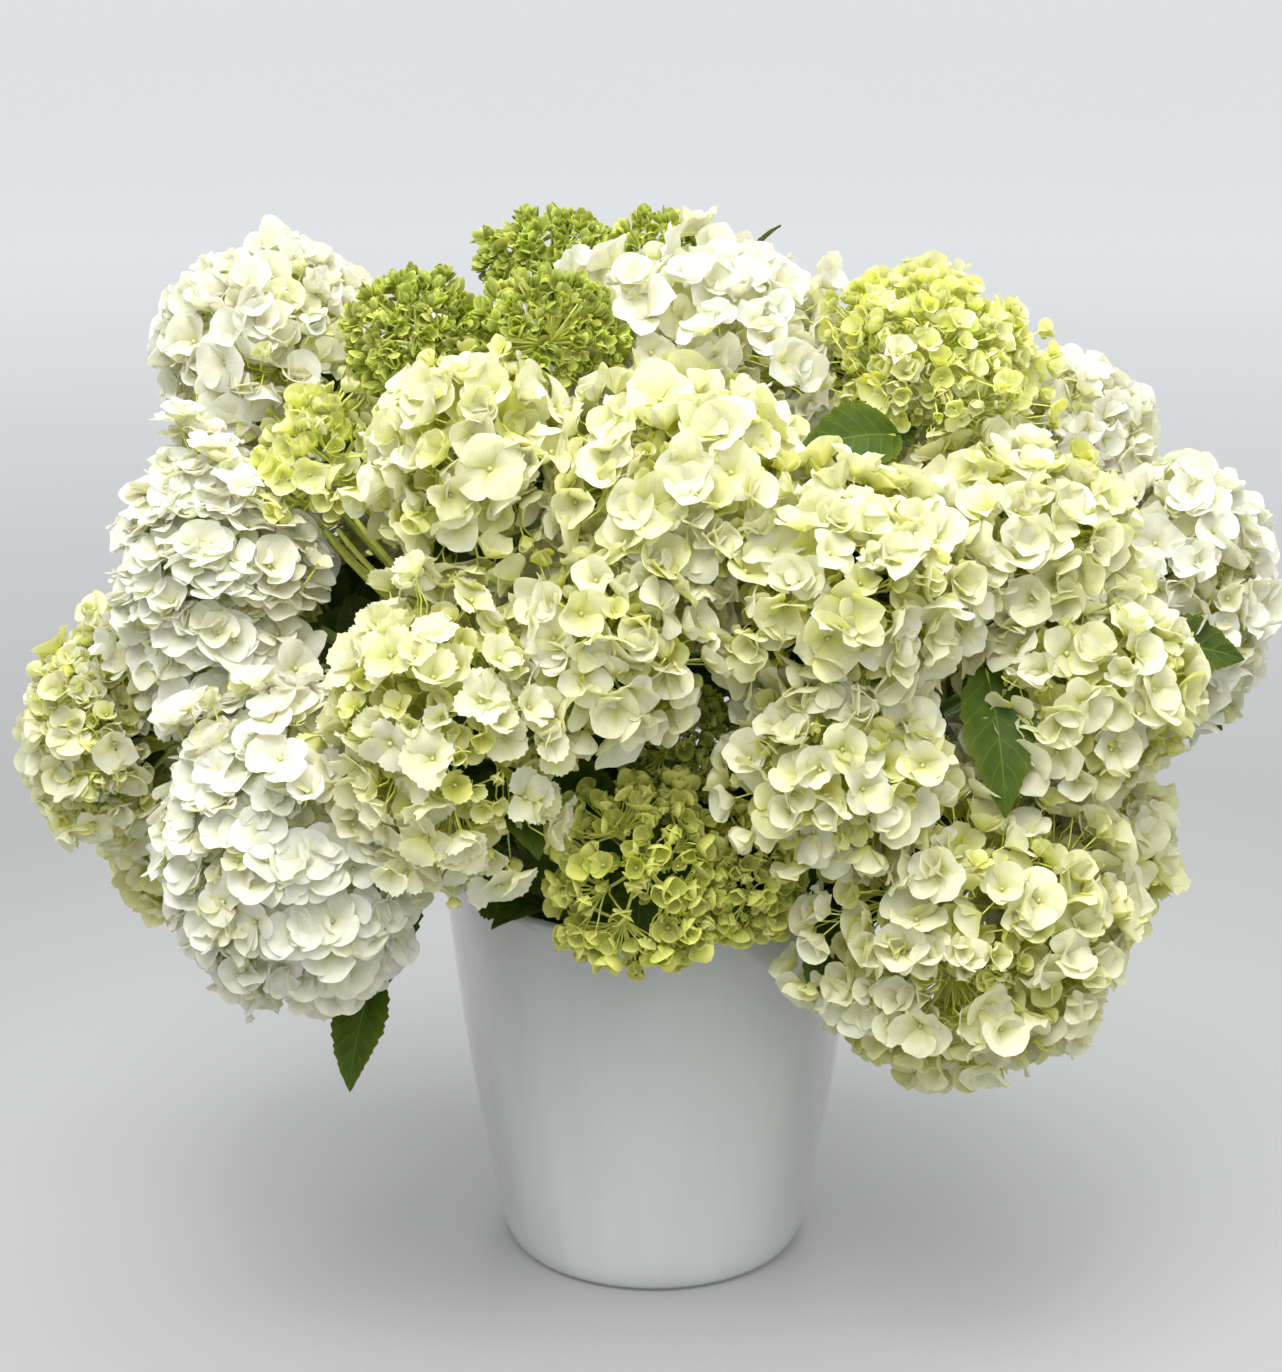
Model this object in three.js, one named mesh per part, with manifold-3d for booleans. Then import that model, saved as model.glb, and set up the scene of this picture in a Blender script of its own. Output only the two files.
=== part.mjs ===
// Hydrangeas in a vase: a full, round bunch of cream, white and lime-green heads on leafy stems,
// standing in water in a white glazed, hand-made vase with a wavy rim.
// Millimetres. +Z is up and the front of the bunch faces -Y.
// The origin is the middle of the vase's foot, on the surface it stands on.

import * as THREE from 'three';
import Module from 'manifold-3d';

const wasm = await Module();
wasm.setup();

const V3 = (x, y, z) => new THREE.Vector3(x, y, z);

// ---- Driving sizes -------------------------------------------------------

const VASE_HEIGHT = 248;
const FOOT_RADIUS = 93.5;
const RIM_RADIUS = 129;
const WALL = 6.5;
const FLOOR = 9;
const VASE_SIDES = 32;
const FLUTES = 8; // soft upright facets pressed into the clay
const FLUTE_DEPTH = 1.1;
const RIM_WAVE = 2.6; // rise and fall of the hand-cut rim

const GAP = 0.3; // clearance between pieces that touch
const WATER_LEVEL = 196;
const STEM_SIDES = 5;
const STEM_RADIUS = 3.9;
const STEM_STEPS = 5; // the first one is the straight foot in the water
const HOLE_CLEARANCE = 0.6;
const STEM_FOOT_RING = 70; // the cut ends stand within this radius
const STEM_FOOT_SPACING = 19;

const HUB = V3(0, 0, 285); // the stems fan out from about here, just over the rim
const CORE = 0.7; // a head's inner core, as a share of the head
const SLIVER = 0.04; // creases finer than this are smoothed away
const INNER_BARE = 0.42; // florets don't grow on the side that faces the stem
const LEAF_THICKNESS = 1.2;
const PETIOLE_RADIUS = 2.2;

// Florets, larger than life so that they cover each head.
// radius: middle of the floret to a sepal's tip. spread: share of the head that they cover.
// sit: how far out the floret's middle stands. cup: how far its middle lies below the tips.
const FLORETS = {
  open: { radius: 31, spread: 0.595, sit: 0.93, cup: 4, neck: 9, rim: 'sepals' },
  toothed: { radius: 28, spread: 0.6, sit: 0.94, cup: 5, neck: 9, rim: 'toothed' },
  small: { radius: 21, spread: 0.5, sit: 0.96, cup: 8, neck: 0, rim: 'cup' },
  cup: { radius: 17.5, spread: 0.46, sit: 0.96, cup: 8, neck: 0, rim: 'cup' },
  bud: { radius: 6.5, length: 26, spread: 0.085, sit: 1.04 },
};

// Flower heads. Each lobe: middle x, y, z and half sizes x, y, z.
const HEADS = {
  centre_left: { floret: 'open', colour: 'cream', lobes: [[-101, -130, 521, 50, 64, 58]] },
  centre: {
    floret: 'open',
    colour: 'cream',
    lobes: [[12, -124, 504, 74, 78, 60], [-30, -178, 432, 56, 54, 54]],
  },
  front_left: { floret: 'toothed', colour: 'cream', lobes: [[-111, -184, 386, 64, 58, 80]] },
  front_right: {
    floret: 'open',
    colour: 'cream',
    lobes: [[99, -150, 458, 70, 76, 64], [97, -178, 365, 56, 56, 54]],
  },
  right: {
    floret: 'open',
    colour: 'cream',
    lobes: [[201, -86, 470, 66, 72, 54], [233, -112, 391, 70, 66, 58]],
  },
  lower_right: {
    floret: 'open',
    colour: 'cream',
    lobes: [[172, -146, 262, 94, 80, 88], [258, -58, 274, 46, 56, 54]],
  },
  lower_left: { floret: 'open', colour: 'white', lobes: [[-199, -146, 307, 76, 72, 90]] },
  left: { floret: 'open', colour: 'white', lobes: [[-242, -66, 442, 63, 66, 82]] },
  upper_left: { floret: 'open', colour: 'white', lobes: [[-226, 26, 556, 64, 74, 63]] },
  top: { floret: 'open', colour: 'white', lobes: [[26, -6, 562, 82, 78, 60]] },
  buds_left: {
    floret: 'bud',
    colour: 'lime',
    lobes: [[-132, -60, 579, 42, 40, 36], [-60, -70, 578, 48, 42, 40]],
  },
  buds_back: {
    floret: 'bud',
    colour: 'lime',
    lobes: [[-62, 66, 606, 44, 38, 30], [4, 62, 612, 32, 30, 22]],
  },
  lime_top: { floret: 'small', colour: 'lime', lobes: [[151, -10, 552, 68, 70, 58]] },
  lime_left: { floret: 'small', colour: 'lime', lobes: [[-180, -60, 501, 50, 52, 50]] },
  far_left: { floret: 'small', colour: 'lime', lobes: [[-322, -30, 342, 48, 56, 64]] },
  behind_left: { floret: 'open', colour: 'cream', lobes: [[-282, 44, 252, 58, 64, 58]] },
  behind_right: { floret: 'open', colour: 'white', lobes: [[248, 60, 496, 52, 58, 50]] },
  far_right: { floret: 'open', colour: 'white', lobes: [[316, 10, 410, 52, 64, 80]] },
  lime_front: { floret: 'cup', colour: 'lime', lobes: [[-9, -165, 299, 54, 46, 58]] },
  lime_front_small: { floret: 'cup', colour: 'lime', lobes: [[50, -152, 294, 33, 34, 41]] },
  lime_inner: { floret: 'cup', colour: 'lime', lobes: [[17, -100, 352, 38, 34, 34]] },
  side_left: { floret: 'open', colour: 'white', lobes: [[-244, 104, 392, 70, 80, 78]] },
  side_right: { floret: 'open', colour: 'cream', lobes: [[254, 104, 338, 70, 80, 78]] },
  back_upper_left: { floret: 'open', colour: 'white', lobes: [[-138, 132, 486, 80, 78, 76]] },
  back_upper: { floret: 'open', colour: 'cream', lobes: [[8, 140, 504, 82, 80, 76]] },
  back_upper_right: { floret: 'open', colour: 'cream', lobes: [[150, 138, 468, 80, 80, 78]] },
  back_lower_left: { floret: 'open', colour: 'cream', lobes: [[-144, 200, 318, 86, 74, 86]] },
  back_lower: { floret: 'open', colour: 'white', lobes: [[5, 222, 362, 86, 72, 88]] },
  back_lower_right: { floret: 'open', colour: 'white', lobes: [[152, 204, 300, 84, 74, 82]] },
};

// Leaves. Each hangs on a head's stem, at a share of its length, by a stalk that reaches the blade's
// base; then the blade's base, its tip, its width and how far its middle is raised. A leaf's upper
// face looks up, or to the front.
const LEAVES = [
  { stem: 'lime_top', at: 0.8, base: [136, -88, 530], tip: [76, -128, 528], width: 42, arch: 8, front: true },
  { stem: 'right', at: 0.8, base: [182, -142, 412], tip: [190, -188, 338], width: 44, arch: 8 },
  { stem: 'far_right', at: 0.75, base: [284, -60, 402], tip: [342, -64, 393], width: 38, arch: 7, front: true },
  { stem: 'lower_left', at: 0.7, base: [-160, -128, 226], tip: [-174, -160, 164], width: 36, arch: 6 },
  { stem: 'lime_front', at: 0.6, base: [-52, -112, 262], tip: [-92, -158, 262], width: 34, arch: 6 },
  { stem: 'left', at: 0.7, base: [-200, -88, 380], tip: [-262, -128, 366], width: 36, arch: 6 },
  { stem: 'buds_back', at: 0.85, base: [48, 70, 590], tip: [76, 64, 628], width: 24, arch: 4 },
  { stem: 'upper_left', at: 0.75, base: [-262, 30, 490], tip: [-316, 4, 458], width: 34, arch: 6 },
  { stem: 'back_lower', at: 0.62, base: [60, 150, 262], tip: [96, 236, 236], width: 50, arch: 9 },
  { stem: 'back_lower_left', at: 0.62, base: [-82, 150, 262], tip: [-90, 238, 228], width: 50, arch: 9 },
  { stem: 'back_upper_left', at: 0.8, base: [-66, 110, 420], tip: [-62, 210, 418], width: 52, arch: 9 },
  { stem: 'back_upper_right', at: 0.8, base: [88, 130, 400], tip: [84, 222, 402], width: 50, arch: 9 },
];

// ---- Small tools ---------------------------------------------------------

// The same draw of numbers each time.
function seeded(seed) {
  let state = seed;
  return () => {
    state = (state * 1664525 + 1013904223) % 4294967296;
    return state / 4294967296;
  };
}

// A closed solid from corner points and triangles.
function solidOf(points, triangles) {
  const vertProperties = new Float32Array(points.flatMap((p) => [p.x, p.y, p.z]));
  const triVerts = new Uint32Array(triangles.flat());
  return new wasm.Manifold(new wasm.Mesh({ numProp: 3, vertProperties, triVerts }));
}

// A closed solid from a three.js geometry, with corners at one place joined.
function solidOfGeometry(geometry) {
  const position = geometry.getAttribute('position');
  const index = geometry.index;
  const count = index ? index.count : position.count;
  const found = new Map();
  const points = [];
  const corners = [];
  for (let i = 0; i < count; i += 1) {
    const p = new THREE.Vector3().fromBufferAttribute(position, index ? index.getX(i) : i);
    const key = [p.x, p.y, p.z].map((c) => Math.round(c * 1000)).join(',');
    if (!found.has(key)) {
      found.set(key, points.length);
      points.push(p);
    }
    corners.push(found.get(key));
  }
  const triangles = [];
  for (let i = 0; i < corners.length; i += 3) {
    const [a, b, c] = corners.slice(i, i + 3);
    if (a !== b && b !== c && c !== a) triangles.push([a, b, c]);
  }
  return solidOf(points, triangles);
}

function meshOf(solid, name, material) {
  const { vertProperties, triVerts, numProp } = solid.getMesh();
  const positions = [];
  for (const v of triVerts) {
    positions.push(...vertProperties.slice(v * numProp, v * numProp + 3));
  }
  const geometry = new THREE.BufferGeometry();
  geometry.setAttribute('position', new THREE.Float32BufferAttribute(positions, 3));
  geometry.computeVertexNormals();
  const mesh = new THREE.Mesh(geometry, material);
  mesh.name = name;
  return mesh;
}

// Joined solids, without slivers or loose scraps: only the largest body is kept.
function fused(solids) {
  const joined = wasm.Manifold.union(solids).simplify(SLIVER);
  const bodies = joined.decompose();
  bodies.sort((a, b) => b.volume() - a.volume());
  return bodies[0];
}

// ---- Vase and water ------------------------------------------------------

// The clay wall leans outwards, with eight soft facets, and rises and falls at the rim.
function shapedByHand(geometry) {
  const position = geometry.getAttribute('position');
  for (let i = 0; i < position.count; i += 1) {
    const p = new THREE.Vector3().fromBufferAttribute(position, i);
    const radius = Math.hypot(p.x, p.y);
    const turn = Math.atan2(p.y, p.x);
    const rise = Math.min(1, Math.max(0, p.z / VASE_HEIGHT));
    const flute = FLUTE_DEPTH * Math.cos(FLUTES * turn) * Math.min(1, rise * 4);
    const grown = radius > 60 ? (radius + flute) / radius : 1;
    const wave = Math.sin(2 * turn + 0.6) + 0.5 * Math.sin(5 * turn + 1.9);
    p.set(p.x * grown, p.y * grown, p.z + RIM_WAVE * wave * rise ** 4);
    position.setXYZ(i, p.x, p.y, p.z);
  }
  return geometry;
}

// Outside radius of the vase at a height: nearly straight, a little fuller in the middle.
function outsideRadius(z) {
  const t = z / VASE_HEIGHT;
  return FOOT_RADIUS + (RIM_RADIUS - FOOT_RADIUS) * t + 3 * Math.sin(Math.PI * t);
}

function turned(profile) {
  const points = profile.map(([r, z]) => new THREE.Vector2(r, z));
  const lathe = new THREE.LatheGeometry(points, VASE_SIDES);
  lathe.rotateX(Math.PI / 2); // the lathe turns about Y; stand it up on Z
  return lathe;
}

function vaseSolid() {
  const outside = [6, 20, 110, 236].map((z) => [outsideRadius(z) - (z < 10 ? 4 : 0), z]);
  const inside = [236, 120, FLOOR + 10].map((z) => [outsideRadius(z) - WALL, z]);
  const profile = [
    [0, 0],
    [FOOT_RADIUS - 12, 0],
    ...outside,
    [RIM_RADIUS - 1.5, VASE_HEIGHT],
    [RIM_RADIUS - 4.5, VASE_HEIGHT],
    ...inside,
    [FOOT_RADIUS - WALL - 8, FLOOR],
    [0, FLOOR],
  ];
  return solidOfGeometry(shapedByHand(turned(profile)));
}

const waterSide = (z) => outsideRadius(z) - WALL - GAP - 0.4;

// A plain hole for a stem's straight foot.
function holeSolid([foot, surface]) {
  const along = surface.clone().sub(foot).normalize();
  const bottom = foot.clone().addScaledVector(along, -1);
  const line = new THREE.LineCurve3(bottom, surface.clone().addScaledVector(along, 2));
  return rodAlong(line, STEM_RADIUS + HOLE_CLEARANCE, STEM_SIDES, 1);
}

function waterSolid(holes) {
  const profile = [
    [0, FLOOR + GAP],
    [FOOT_RADIUS - WALL - 9, FLOOR + GAP],
    [waterSide(FLOOR + 10) - 0.5, FLOOR + 11],
    [waterSide(WATER_LEVEL) - 0.5, WATER_LEVEL],
    [0, WATER_LEVEL],
  ];
  return solidOfGeometry(shapedByHand(turned(profile))).subtract(wasm.Manifold.union(holes));
}

// ---- Heads ---------------------------------------------------------------

const lobes = [];
for (const [name, head] of Object.entries(HEADS)) {
  head.parts = head.lobes.map(([x, y, z, a, b, c]) => {
    const lobe = { head: name, middle: V3(x, y, z), half: V3(a, b, c), walls: [] };
    lobes.push(lobe);
    return lobe;
  });
}

// How far a lobe reaches in a direction.
function reach(lobe, direction) {
  return 1 / direction.clone().divide(lobe.half).length();
}

// Between two neighbouring heads lies a flat wall that neither grows through.
for (const a of lobes) {
  for (const b of lobes) {
    if (a.head === b.head) continue;
    const towards = b.middle.clone().sub(a.middle);
    const apart = towards.length();
    towards.normalize();
    const mine = reach(a, towards);
    const theirs = reach(b, towards);
    if (apart - mine - theirs > 25) continue;
    const at = mine + (apart - mine - theirs) / 2 - GAP / 2 - 0.1;
    a.walls.push({ normal: towards, offset: towards.dot(a.middle) + at });
  }
}

// A point drawn back towards a floret's root until it is inside its head's walls.
function keptIn(lobe, root, point) {
  let share = 1;
  for (const { normal, offset } of lobe.walls) {
    const outwards = normal.dot(point) - normal.dot(root);
    const room = offset - normal.dot(root);
    if (outwards > room) share = Math.min(share, Math.max(0, room / outwards));
  }
  return root.clone().lerp(point, share);
}

const isInside = (lobe, point) => lobe.walls.every((w) => w.normal.dot(point) < w.offset);

// Evenly spread directions, by the golden angle, starting at the side that faces out.
function directions(count, outwards, turn) {
  const facing = new THREE.Quaternion().setFromUnitVectors(V3(0, 0, 1), outwards);
  return Array.from({ length: count }, (unused, i) => {
    const z = 1 - (2 * i + 1) / count;
    const r = Math.sqrt(1 - z * z);
    const a = turn + i * Math.PI * (3 - Math.sqrt(5));
    return V3(r * Math.cos(a), r * Math.sin(a), z).applyQuaternion(facing);
  });
}

function lobeArea({ half }) {
  const p = 1.6;
  const [ab, ac, bc] = [half.x * half.y, half.x * half.z, half.y * half.z];
  return 4 * Math.PI * ((ab ** p + ac ** p + bc ** p) / 3) ** (1 / p);
}

// The rim of a floret: [share of its radius, height above its middle] going round.
// Each of four sepals has two rounded corners and a notch; a toothed one has a point as well.
function floretRim(kind, random) {
  const rim = [];
  for (let sepal = 0; sepal < 4; sepal += 1) {
    const start = sepal * Math.PI / 2;
    const size = 0.9 + 0.14 * random();
    const lift = (sepal % 2 ? 0.12 : -0.02) + 0.12 * (random() - 0.5);
    if (kind === 'cup') {
      rim.push([start, size, lift]);
      rim.push([start + Math.PI / 4, 0.66, lift * 0.4 - 0.1]);
      continue;
    }
    rim.push([start - 0.42, size * 0.94, lift]);
    if (kind === 'toothed') rim.push([start, size * 1.12, lift + 0.08]);
    rim.push([start + 0.42, size * 0.94, lift + 0.06]);
    rim.push([start + Math.PI / 4, 0.5, -0.08]);
  }
  return rim;
}

// One floret as a closed solid: a four-sepalled dish on a stalk that is sunk well into the core.
function floretSolid(lobe, direction, style, scale, random) {
  const out = direction.clone().divide(lobe.half).normalize();
  const side = V3(0, 0, 1).cross(out);
  if (side.length() < 0.1) side.set(1, 0, 0);
  side.normalize().applyAxisAngle(out, random() * Math.PI);
  const up = out.clone().cross(side);
  const surface = direction.clone().multiply(lobe.half);
  const middle = lobe.middle.clone().addScaledVector(surface, style.sit);
  const root = lobe.middle.clone().addScaledVector(surface, CORE * 0.45);
  if (!isInside(lobe, root)) return null;

  const radius = style.radius * scale;
  const rim = floretRim(style.rim, random).map(([turn, share, lift]) => {
    const p = middle.clone().addScaledVector(out, lift * radius);
    p.addScaledVector(side, Math.cos(turn) * share * radius);
    p.addScaledVector(up, Math.sin(turn) * share * radius);
    return keptIn(lobe, root, p);
  });
  const count = rim.length;
  const heart = keptIn(lobe, root, middle.clone().addScaledVector(out, -style.cup));
  const points = [...rim, heart, root];
  const triangles = [];
  if (!style.neck) {
    for (let i = 0; i < count; i += 1) {
      const next = (i + 1) % count;
      triangles.push([i, next, count], [next, i, count + 1]);
    }
    return solidOf(points, triangles);
  }
  const each = count / 4;
  for (let k = 0; k < 4; k += 1) {
    const turn = k * Math.PI / 2;
    const p = middle.clone().addScaledVector(out, -style.cup - style.neck);
    p.addScaledVector(side, Math.cos(turn) * 3.4).addScaledVector(up, Math.sin(turn) * 3.4);
    points.push(keptIn(lobe, root, p));
  }
  const neckOf = (k) => count + 2 + (k % 4);
  for (let i = 0; i < count; i += 1) {
    const next = (i + 1) % count;
    triangles.push([i, next, count], [next, i, neckOf(Math.floor((i + 1) / each))]);
  }
  for (let k = 0; k < 4; k += 1) {
    const notch = (k + 1) * each - 1;
    triangles.push([neckOf(k + 1), notch, neckOf(k)], [neckOf(k + 1), neckOf(k), count + 1]);
  }
  return solidOf(points, triangles);
}

// A pointed bud on the way out of the head, four-sided.
function budSolid(lobe, direction, style, scale, random) {
  const out = direction.clone().divide(lobe.half).normalize();
  const side = V3(0.3, 0.2, 1).cross(out).normalize().applyAxisAngle(out, random() * 3);
  const up = out.clone().cross(side);
  const surface = direction.clone().multiply(lobe.half);
  const root = lobe.middle.clone().addScaledVector(surface, CORE * 0.45);
  if (!isInside(lobe, root)) return null;
  const tip = lobe.middle.clone().addScaledVector(surface, style.sit * (0.94 + 0.1 * random()));
  tip.addScaledVector(side, 5 * (random() - 0.5));
  const belly = tip.clone().addScaledVector(out, -style.length * scale * 0.5);
  const points = [0, 1, 2, 3].map((k) => {
    const p = belly.clone().addScaledVector(side, Math.cos(k * Math.PI / 2) * style.radius * scale);
    return keptIn(lobe, root, p.addScaledVector(up, Math.sin(k * Math.PI / 2) * style.radius * scale));
  });
  points.push(keptIn(lobe, root, tip), root);
  const triangles = [];
  for (let k = 0; k < 4; k += 1) triangles.push([k, (k + 1) % 4, 4], [(k + 1) % 4, k, 5]);
  return solidOf(points, triangles);
}

// The core of a lobe is a twenty-sided stone with one side square to the stem.
function coreOf(lobe, inwards) {
  const stone = new THREE.IcosahedronGeometry(1, 0);
  const position = stone.getAttribute('position');
  const corner = (i) => new THREE.Vector3().fromBufferAttribute(position, i);
  const facing = corner(0).add(corner(1)).add(corner(2)).normalize();
  stone.applyQuaternion(new THREE.Quaternion().setFromUnitVectors(facing, inwards));
  stone.scale(lobe.half.x * CORE, lobe.half.y * CORE, lobe.half.z * CORE);
  stone.translate(lobe.middle.x, lobe.middle.y, lobe.middle.z);
  for (let i = 0; i < position.count; i += 1) {
    const p = keptIn(lobe, lobe.middle, corner(i));
    position.setXYZ(i, p.x, p.y, p.z);
  }
  const seat = corner(0).add(corner(1)).add(corner(2)).divideScalar(3);
  const normal = corner(1).sub(corner(0)).cross(corner(2).sub(corner(0))).normalize();
  return { solid: solidOfGeometry(stone), seat, normal };
}

// ---- Stems and leaves ----------------------------------------------------

// The cut ends stand in the vase on the side that their heads lean to, the lowest heads outermost.
for (const head of Object.values(HEADS)) {
  const main = head.parts[0];
  // The stem of a low head climbs over the rim and comes down to it.
  const climb = 1.4 * Math.max(0, 300 - main.middle.z);
  head.inwards = HUB.clone().add(V3(0, 0, climb)).sub(main.middle).normalize();
  head.core = coreOf(main, head.inwards);
  const lean = Math.acos(-head.inwards.z);
  const flat = V3(main.middle.x, main.middle.y, 0).normalize();
  head.foot = flat.multiplyScalar(STEM_FOOT_RING * Math.min(1, lean / 1.5) ** 0.8);
}
const feet = Object.values(HEADS).map((head) => head.foot);
for (let round = 0; round < 80; round += 1) {
  for (const a of feet) {
    for (const b of feet) {
      const apart = a.clone().sub(b);
      const short = STEM_FOOT_SPACING - apart.length();
      if (a === b || short < 0) continue;
      apart.setLength(short * 0.3);
      a.add(apart);
      b.sub(apart);
    }
    a.clampLength(0, STEM_FOOT_RING);
  }
}

const FOOT_LEVEL = FLOOR + GAP + 4;

// A stem's line: straight up through the water in its first step, then in a curve to its head.
class StemLine extends THREE.Curve {
  constructor(foot, curve) {
    super();
    this.foot = foot;
    this.curve = curve;
  }

  getPoint(t) {
    const straight = 1 / STEM_STEPS;
    if (t < straight) return this.foot.clone().lerp(this.curve.v0, t / straight);
    return this.curve.getPoint((t - straight) / (1 - straight));
  }

  // Steps are even in t, not in length, so that one falls where the straight part ends.
  getUtoTmapping(u) {
    return u;
  }
}

for (const head of Object.values(HEADS)) {
  const end = head.core.seat.clone().addScaledVector(head.core.normal, GAP);
  const foot = V3(head.foot.x, head.foot.y, FOOT_LEVEL);
  const run = end.distanceTo(V3(foot.x, foot.y, HUB.z));
  const surface = V3(foot.x * 1.15, foot.y * 1.15, WATER_LEVEL + 4);
  const low = surface.clone().addScaledVector(surface.clone().sub(foot).normalize(), 0.3 * run);
  const high = end.clone().addScaledVector(head.core.normal, 0.45 * run);
  head.straight = [foot, surface];
  head.path = new THREE.CubicBezierCurve3(surface, low, high, end);
  head.line = new StemLine(foot, head.path);
}

// A flat-sided rod along a path, with flat ends.
function rodAlong(path, radius, sides, steps) {
  const corners = Array.from({ length: sides }, (unused, k) => {
    const turn = 2 * Math.PI * k / sides;
    return new THREE.Vector2(Math.cos(turn) * radius, Math.sin(turn) * radius);
  });
  const section = new THREE.Shape(corners);
  return solidOfGeometry(new THREE.ExtrudeGeometry(section, { steps, extrudePath: path }));
}

// Half widths of a leaf's toothed outline, going from its base to its tip.
const LEAF_OUTLINE = [[0.04, 0.22], [0.24, 0.9], [0.31, 0.8], [0.52, 0.98], [0.59, 0.82], [0.82, 0.46]];

// A leaf: a thin, arched, toothed blade folded a little along its midrib.
function leafSolid({ base, tip, width, arch, front }) {
  const from = V3(...base);
  const along = V3(...tip).sub(from);
  const look = front ? V3(0, -0.8, 0.6) : V3(0, 0, 1);
  const across = along.clone().cross(look);
  if (across.length() < 0.35 * along.length()) across.copy(along).cross(V3(along.x, 0.4, -0.6));
  across.normalize();
  const face = across.clone().cross(along).normalize();
  const spot = (share, aside, lift) => {
    const bow = arch * 4 * share * (1 - share) + Math.abs(aside) * 0.16 + lift;
    return from.clone().addScaledVector(along, share).addScaledVector(across, aside)
      .addScaledVector(face, bow);
  };
  const half = LEAF_OUTLINE.length;
  const points = [];
  for (const lift of [LEAF_THICKNESS / 2, -LEAF_THICKNESS / 2]) {
    points.push(spot(0, 0, lift), spot(0.34, 0, lift), spot(0.68, 0, lift), spot(1, 0, lift));
    for (const aside of [0.5, -0.5]) {
      for (const [share, w] of LEAF_OUTLINE) points.push(spot(share, aside * w * width, lift));
    }
  }
  // One face of half a blade: the edge is joined to the nearest point of the midrib.
  const layer = 4 + 2 * half;
  const triangles = [];
  for (const hand of [0, 1]) {
    const edge = [0, ...LEAF_OUTLINE.map((unused, i) => 4 + hand * half + i), 3];
    const rib = LEAF_OUTLINE.map(([share]) => (share < 0.45 ? 1 : 2));
    const faces = [];
    for (let i = 0; i + 1 < edge.length; i += 1) {
      const r = i === 0 ? 1 : rib[Math.min(i, half) - 1];
      faces.push([r, edge[i], edge[i + 1]]);
      if (i > 0 && i < half && rib[i] !== r) faces.push([1, edge[i + 1], 2]);
    }
    for (const face of faces) {
      triangles.push(hand ? [face[0], face[2], face[1]] : face);
      const below = face.map((v) => v + layer);
      triangles.push(hand ? below : [below[0], below[2], below[1]]);
    }
    for (let i = 0; i + 1 < edge.length; i += 1) {
      const [a, b] = hand ? [edge[i], edge[i + 1]] : [edge[i + 1], edge[i]];
      triangles.push([a, b, b + layer], [a, b + layer, a + layer]);
    }
  }
  const blade = solidOf(points, triangles);
  return { blade, joint: spot(0, 0, 0).lerp(spot(0.34, 0, 0), 0.5) };
}

// The leaf's stalk runs from the middle of the stem and thins out inside the blade.
function leafWithStalk(leaf) {
  const { blade, joint } = leafSolid(leaf);
  const start = HEADS[leaf.stem].path.getPointAt(leaf.at);
  const along = joint.clone().sub(start);
  const stalk = new THREE.CylinderGeometry(0.4, PETIOLE_RADIUS, along.length(), 4);
  const turn = new THREE.Quaternion().setFromUnitVectors(V3(0, 1, 0), along.clone().normalize());
  stalk.translate(0, along.length() / 2, 0).applyQuaternion(turn);
  stalk.translate(start.x, start.y, start.z);
  return fused([solidOfGeometry(stalk), blade]);
}

// ---- Putting it together -------------------------------------------------

const matte = (color) => new THREE.MeshStandardMaterial({ color, roughness: 0.7, side: THREE.DoubleSide });
const glazeMaterial = new THREE.MeshStandardMaterial({ color: 0xe9ebec, roughness: 0.15 });
const waterMaterial = new THREE.MeshStandardMaterial({ color: 0xb9cfc9, roughness: 0.05 });
const stemMaterial = matte(0x4f7a34);
const headMaterials = {
  cream: matte(0xf1f0d2),
  white: matte(0xf3f4ec),
  lime: matte(0xb7c95a),
};

const group = new THREE.Group();
group.add(meshOf(vaseSolid(), 'vase', glazeMaterial));

const stems = {};
const holes = [];
for (const [name, head] of Object.entries(HEADS)) {
  const leaves = LEAVES.filter((leaf) => leaf.stem === name).map(leafWithStalk);
  const stem = rodAlong(head.line, STEM_RADIUS, STEM_SIDES, STEM_STEPS);
  stems[name] = fused([stem, ...leaves]);
  holes.push(holeSolid(head.straight));
  group.add(meshOf(stems[name], 'stem_' + name, stemMaterial));
}
group.add(meshOf(waterSolid(holes), 'water', waterMaterial));

const stemList = Object.values(stems);
const clearOfStems = (solid) => stemList.every((stem) => solid.minGap(stem, 2) > GAP);

for (const [name, head] of Object.entries(HEADS)) {
  const random = seeded(17 + name.length * 31 + Math.round(head.parts[0].middle.x));
  const style = FLORETS[head.floret];
  const make = head.floret === 'bud' ? budSolid : floretSolid;
  const pieces = [head.core.solid];
  for (const lobe of head.parts.slice(1)) {
    pieces.push(coreOf(lobe, head.inwards).solid);
    const between = lobe.middle.clone().add(head.parts[0].middle).divideScalar(2);
    const link = lobe.middle.distanceTo(head.parts[0].middle) * 0.34;
    const bridge = new THREE.IcosahedronGeometry(link, 0);
    bridge.translate(between.x, between.y, between.z);
    pieces.push(solidOfGeometry(bridge));
  }
  for (const lobe of head.parts) {
    const others = head.parts.filter((other) => other !== lobe);
    const count = Math.round(style.spread * lobeArea(lobe) / (Math.PI * style.radius ** 2));
    for (const direction of directions(count, head.inwards.clone().negate(), random() * 6)) {
      if (direction.dot(head.inwards) > INNER_BARE) continue;
      const surface = direction.clone().multiply(lobe.half).add(lobe.middle);
      const hidden = others.some((other) => surface.clone().sub(other.middle).divide(other.half).length() < 0.93);
      if (hidden) continue;
      for (const scale of [1, 0.8, 0.62]) {
        const floret = make(lobe, direction, style, scale, random);
        if (floret && clearOfStems(floret)) {
          pieces.push(floret);
          break;
        }
      }
    }
  }
  group.add(meshOf(fused(pieces), 'head_' + name, headMaterials[head.colour]));
}

export default group;
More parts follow.
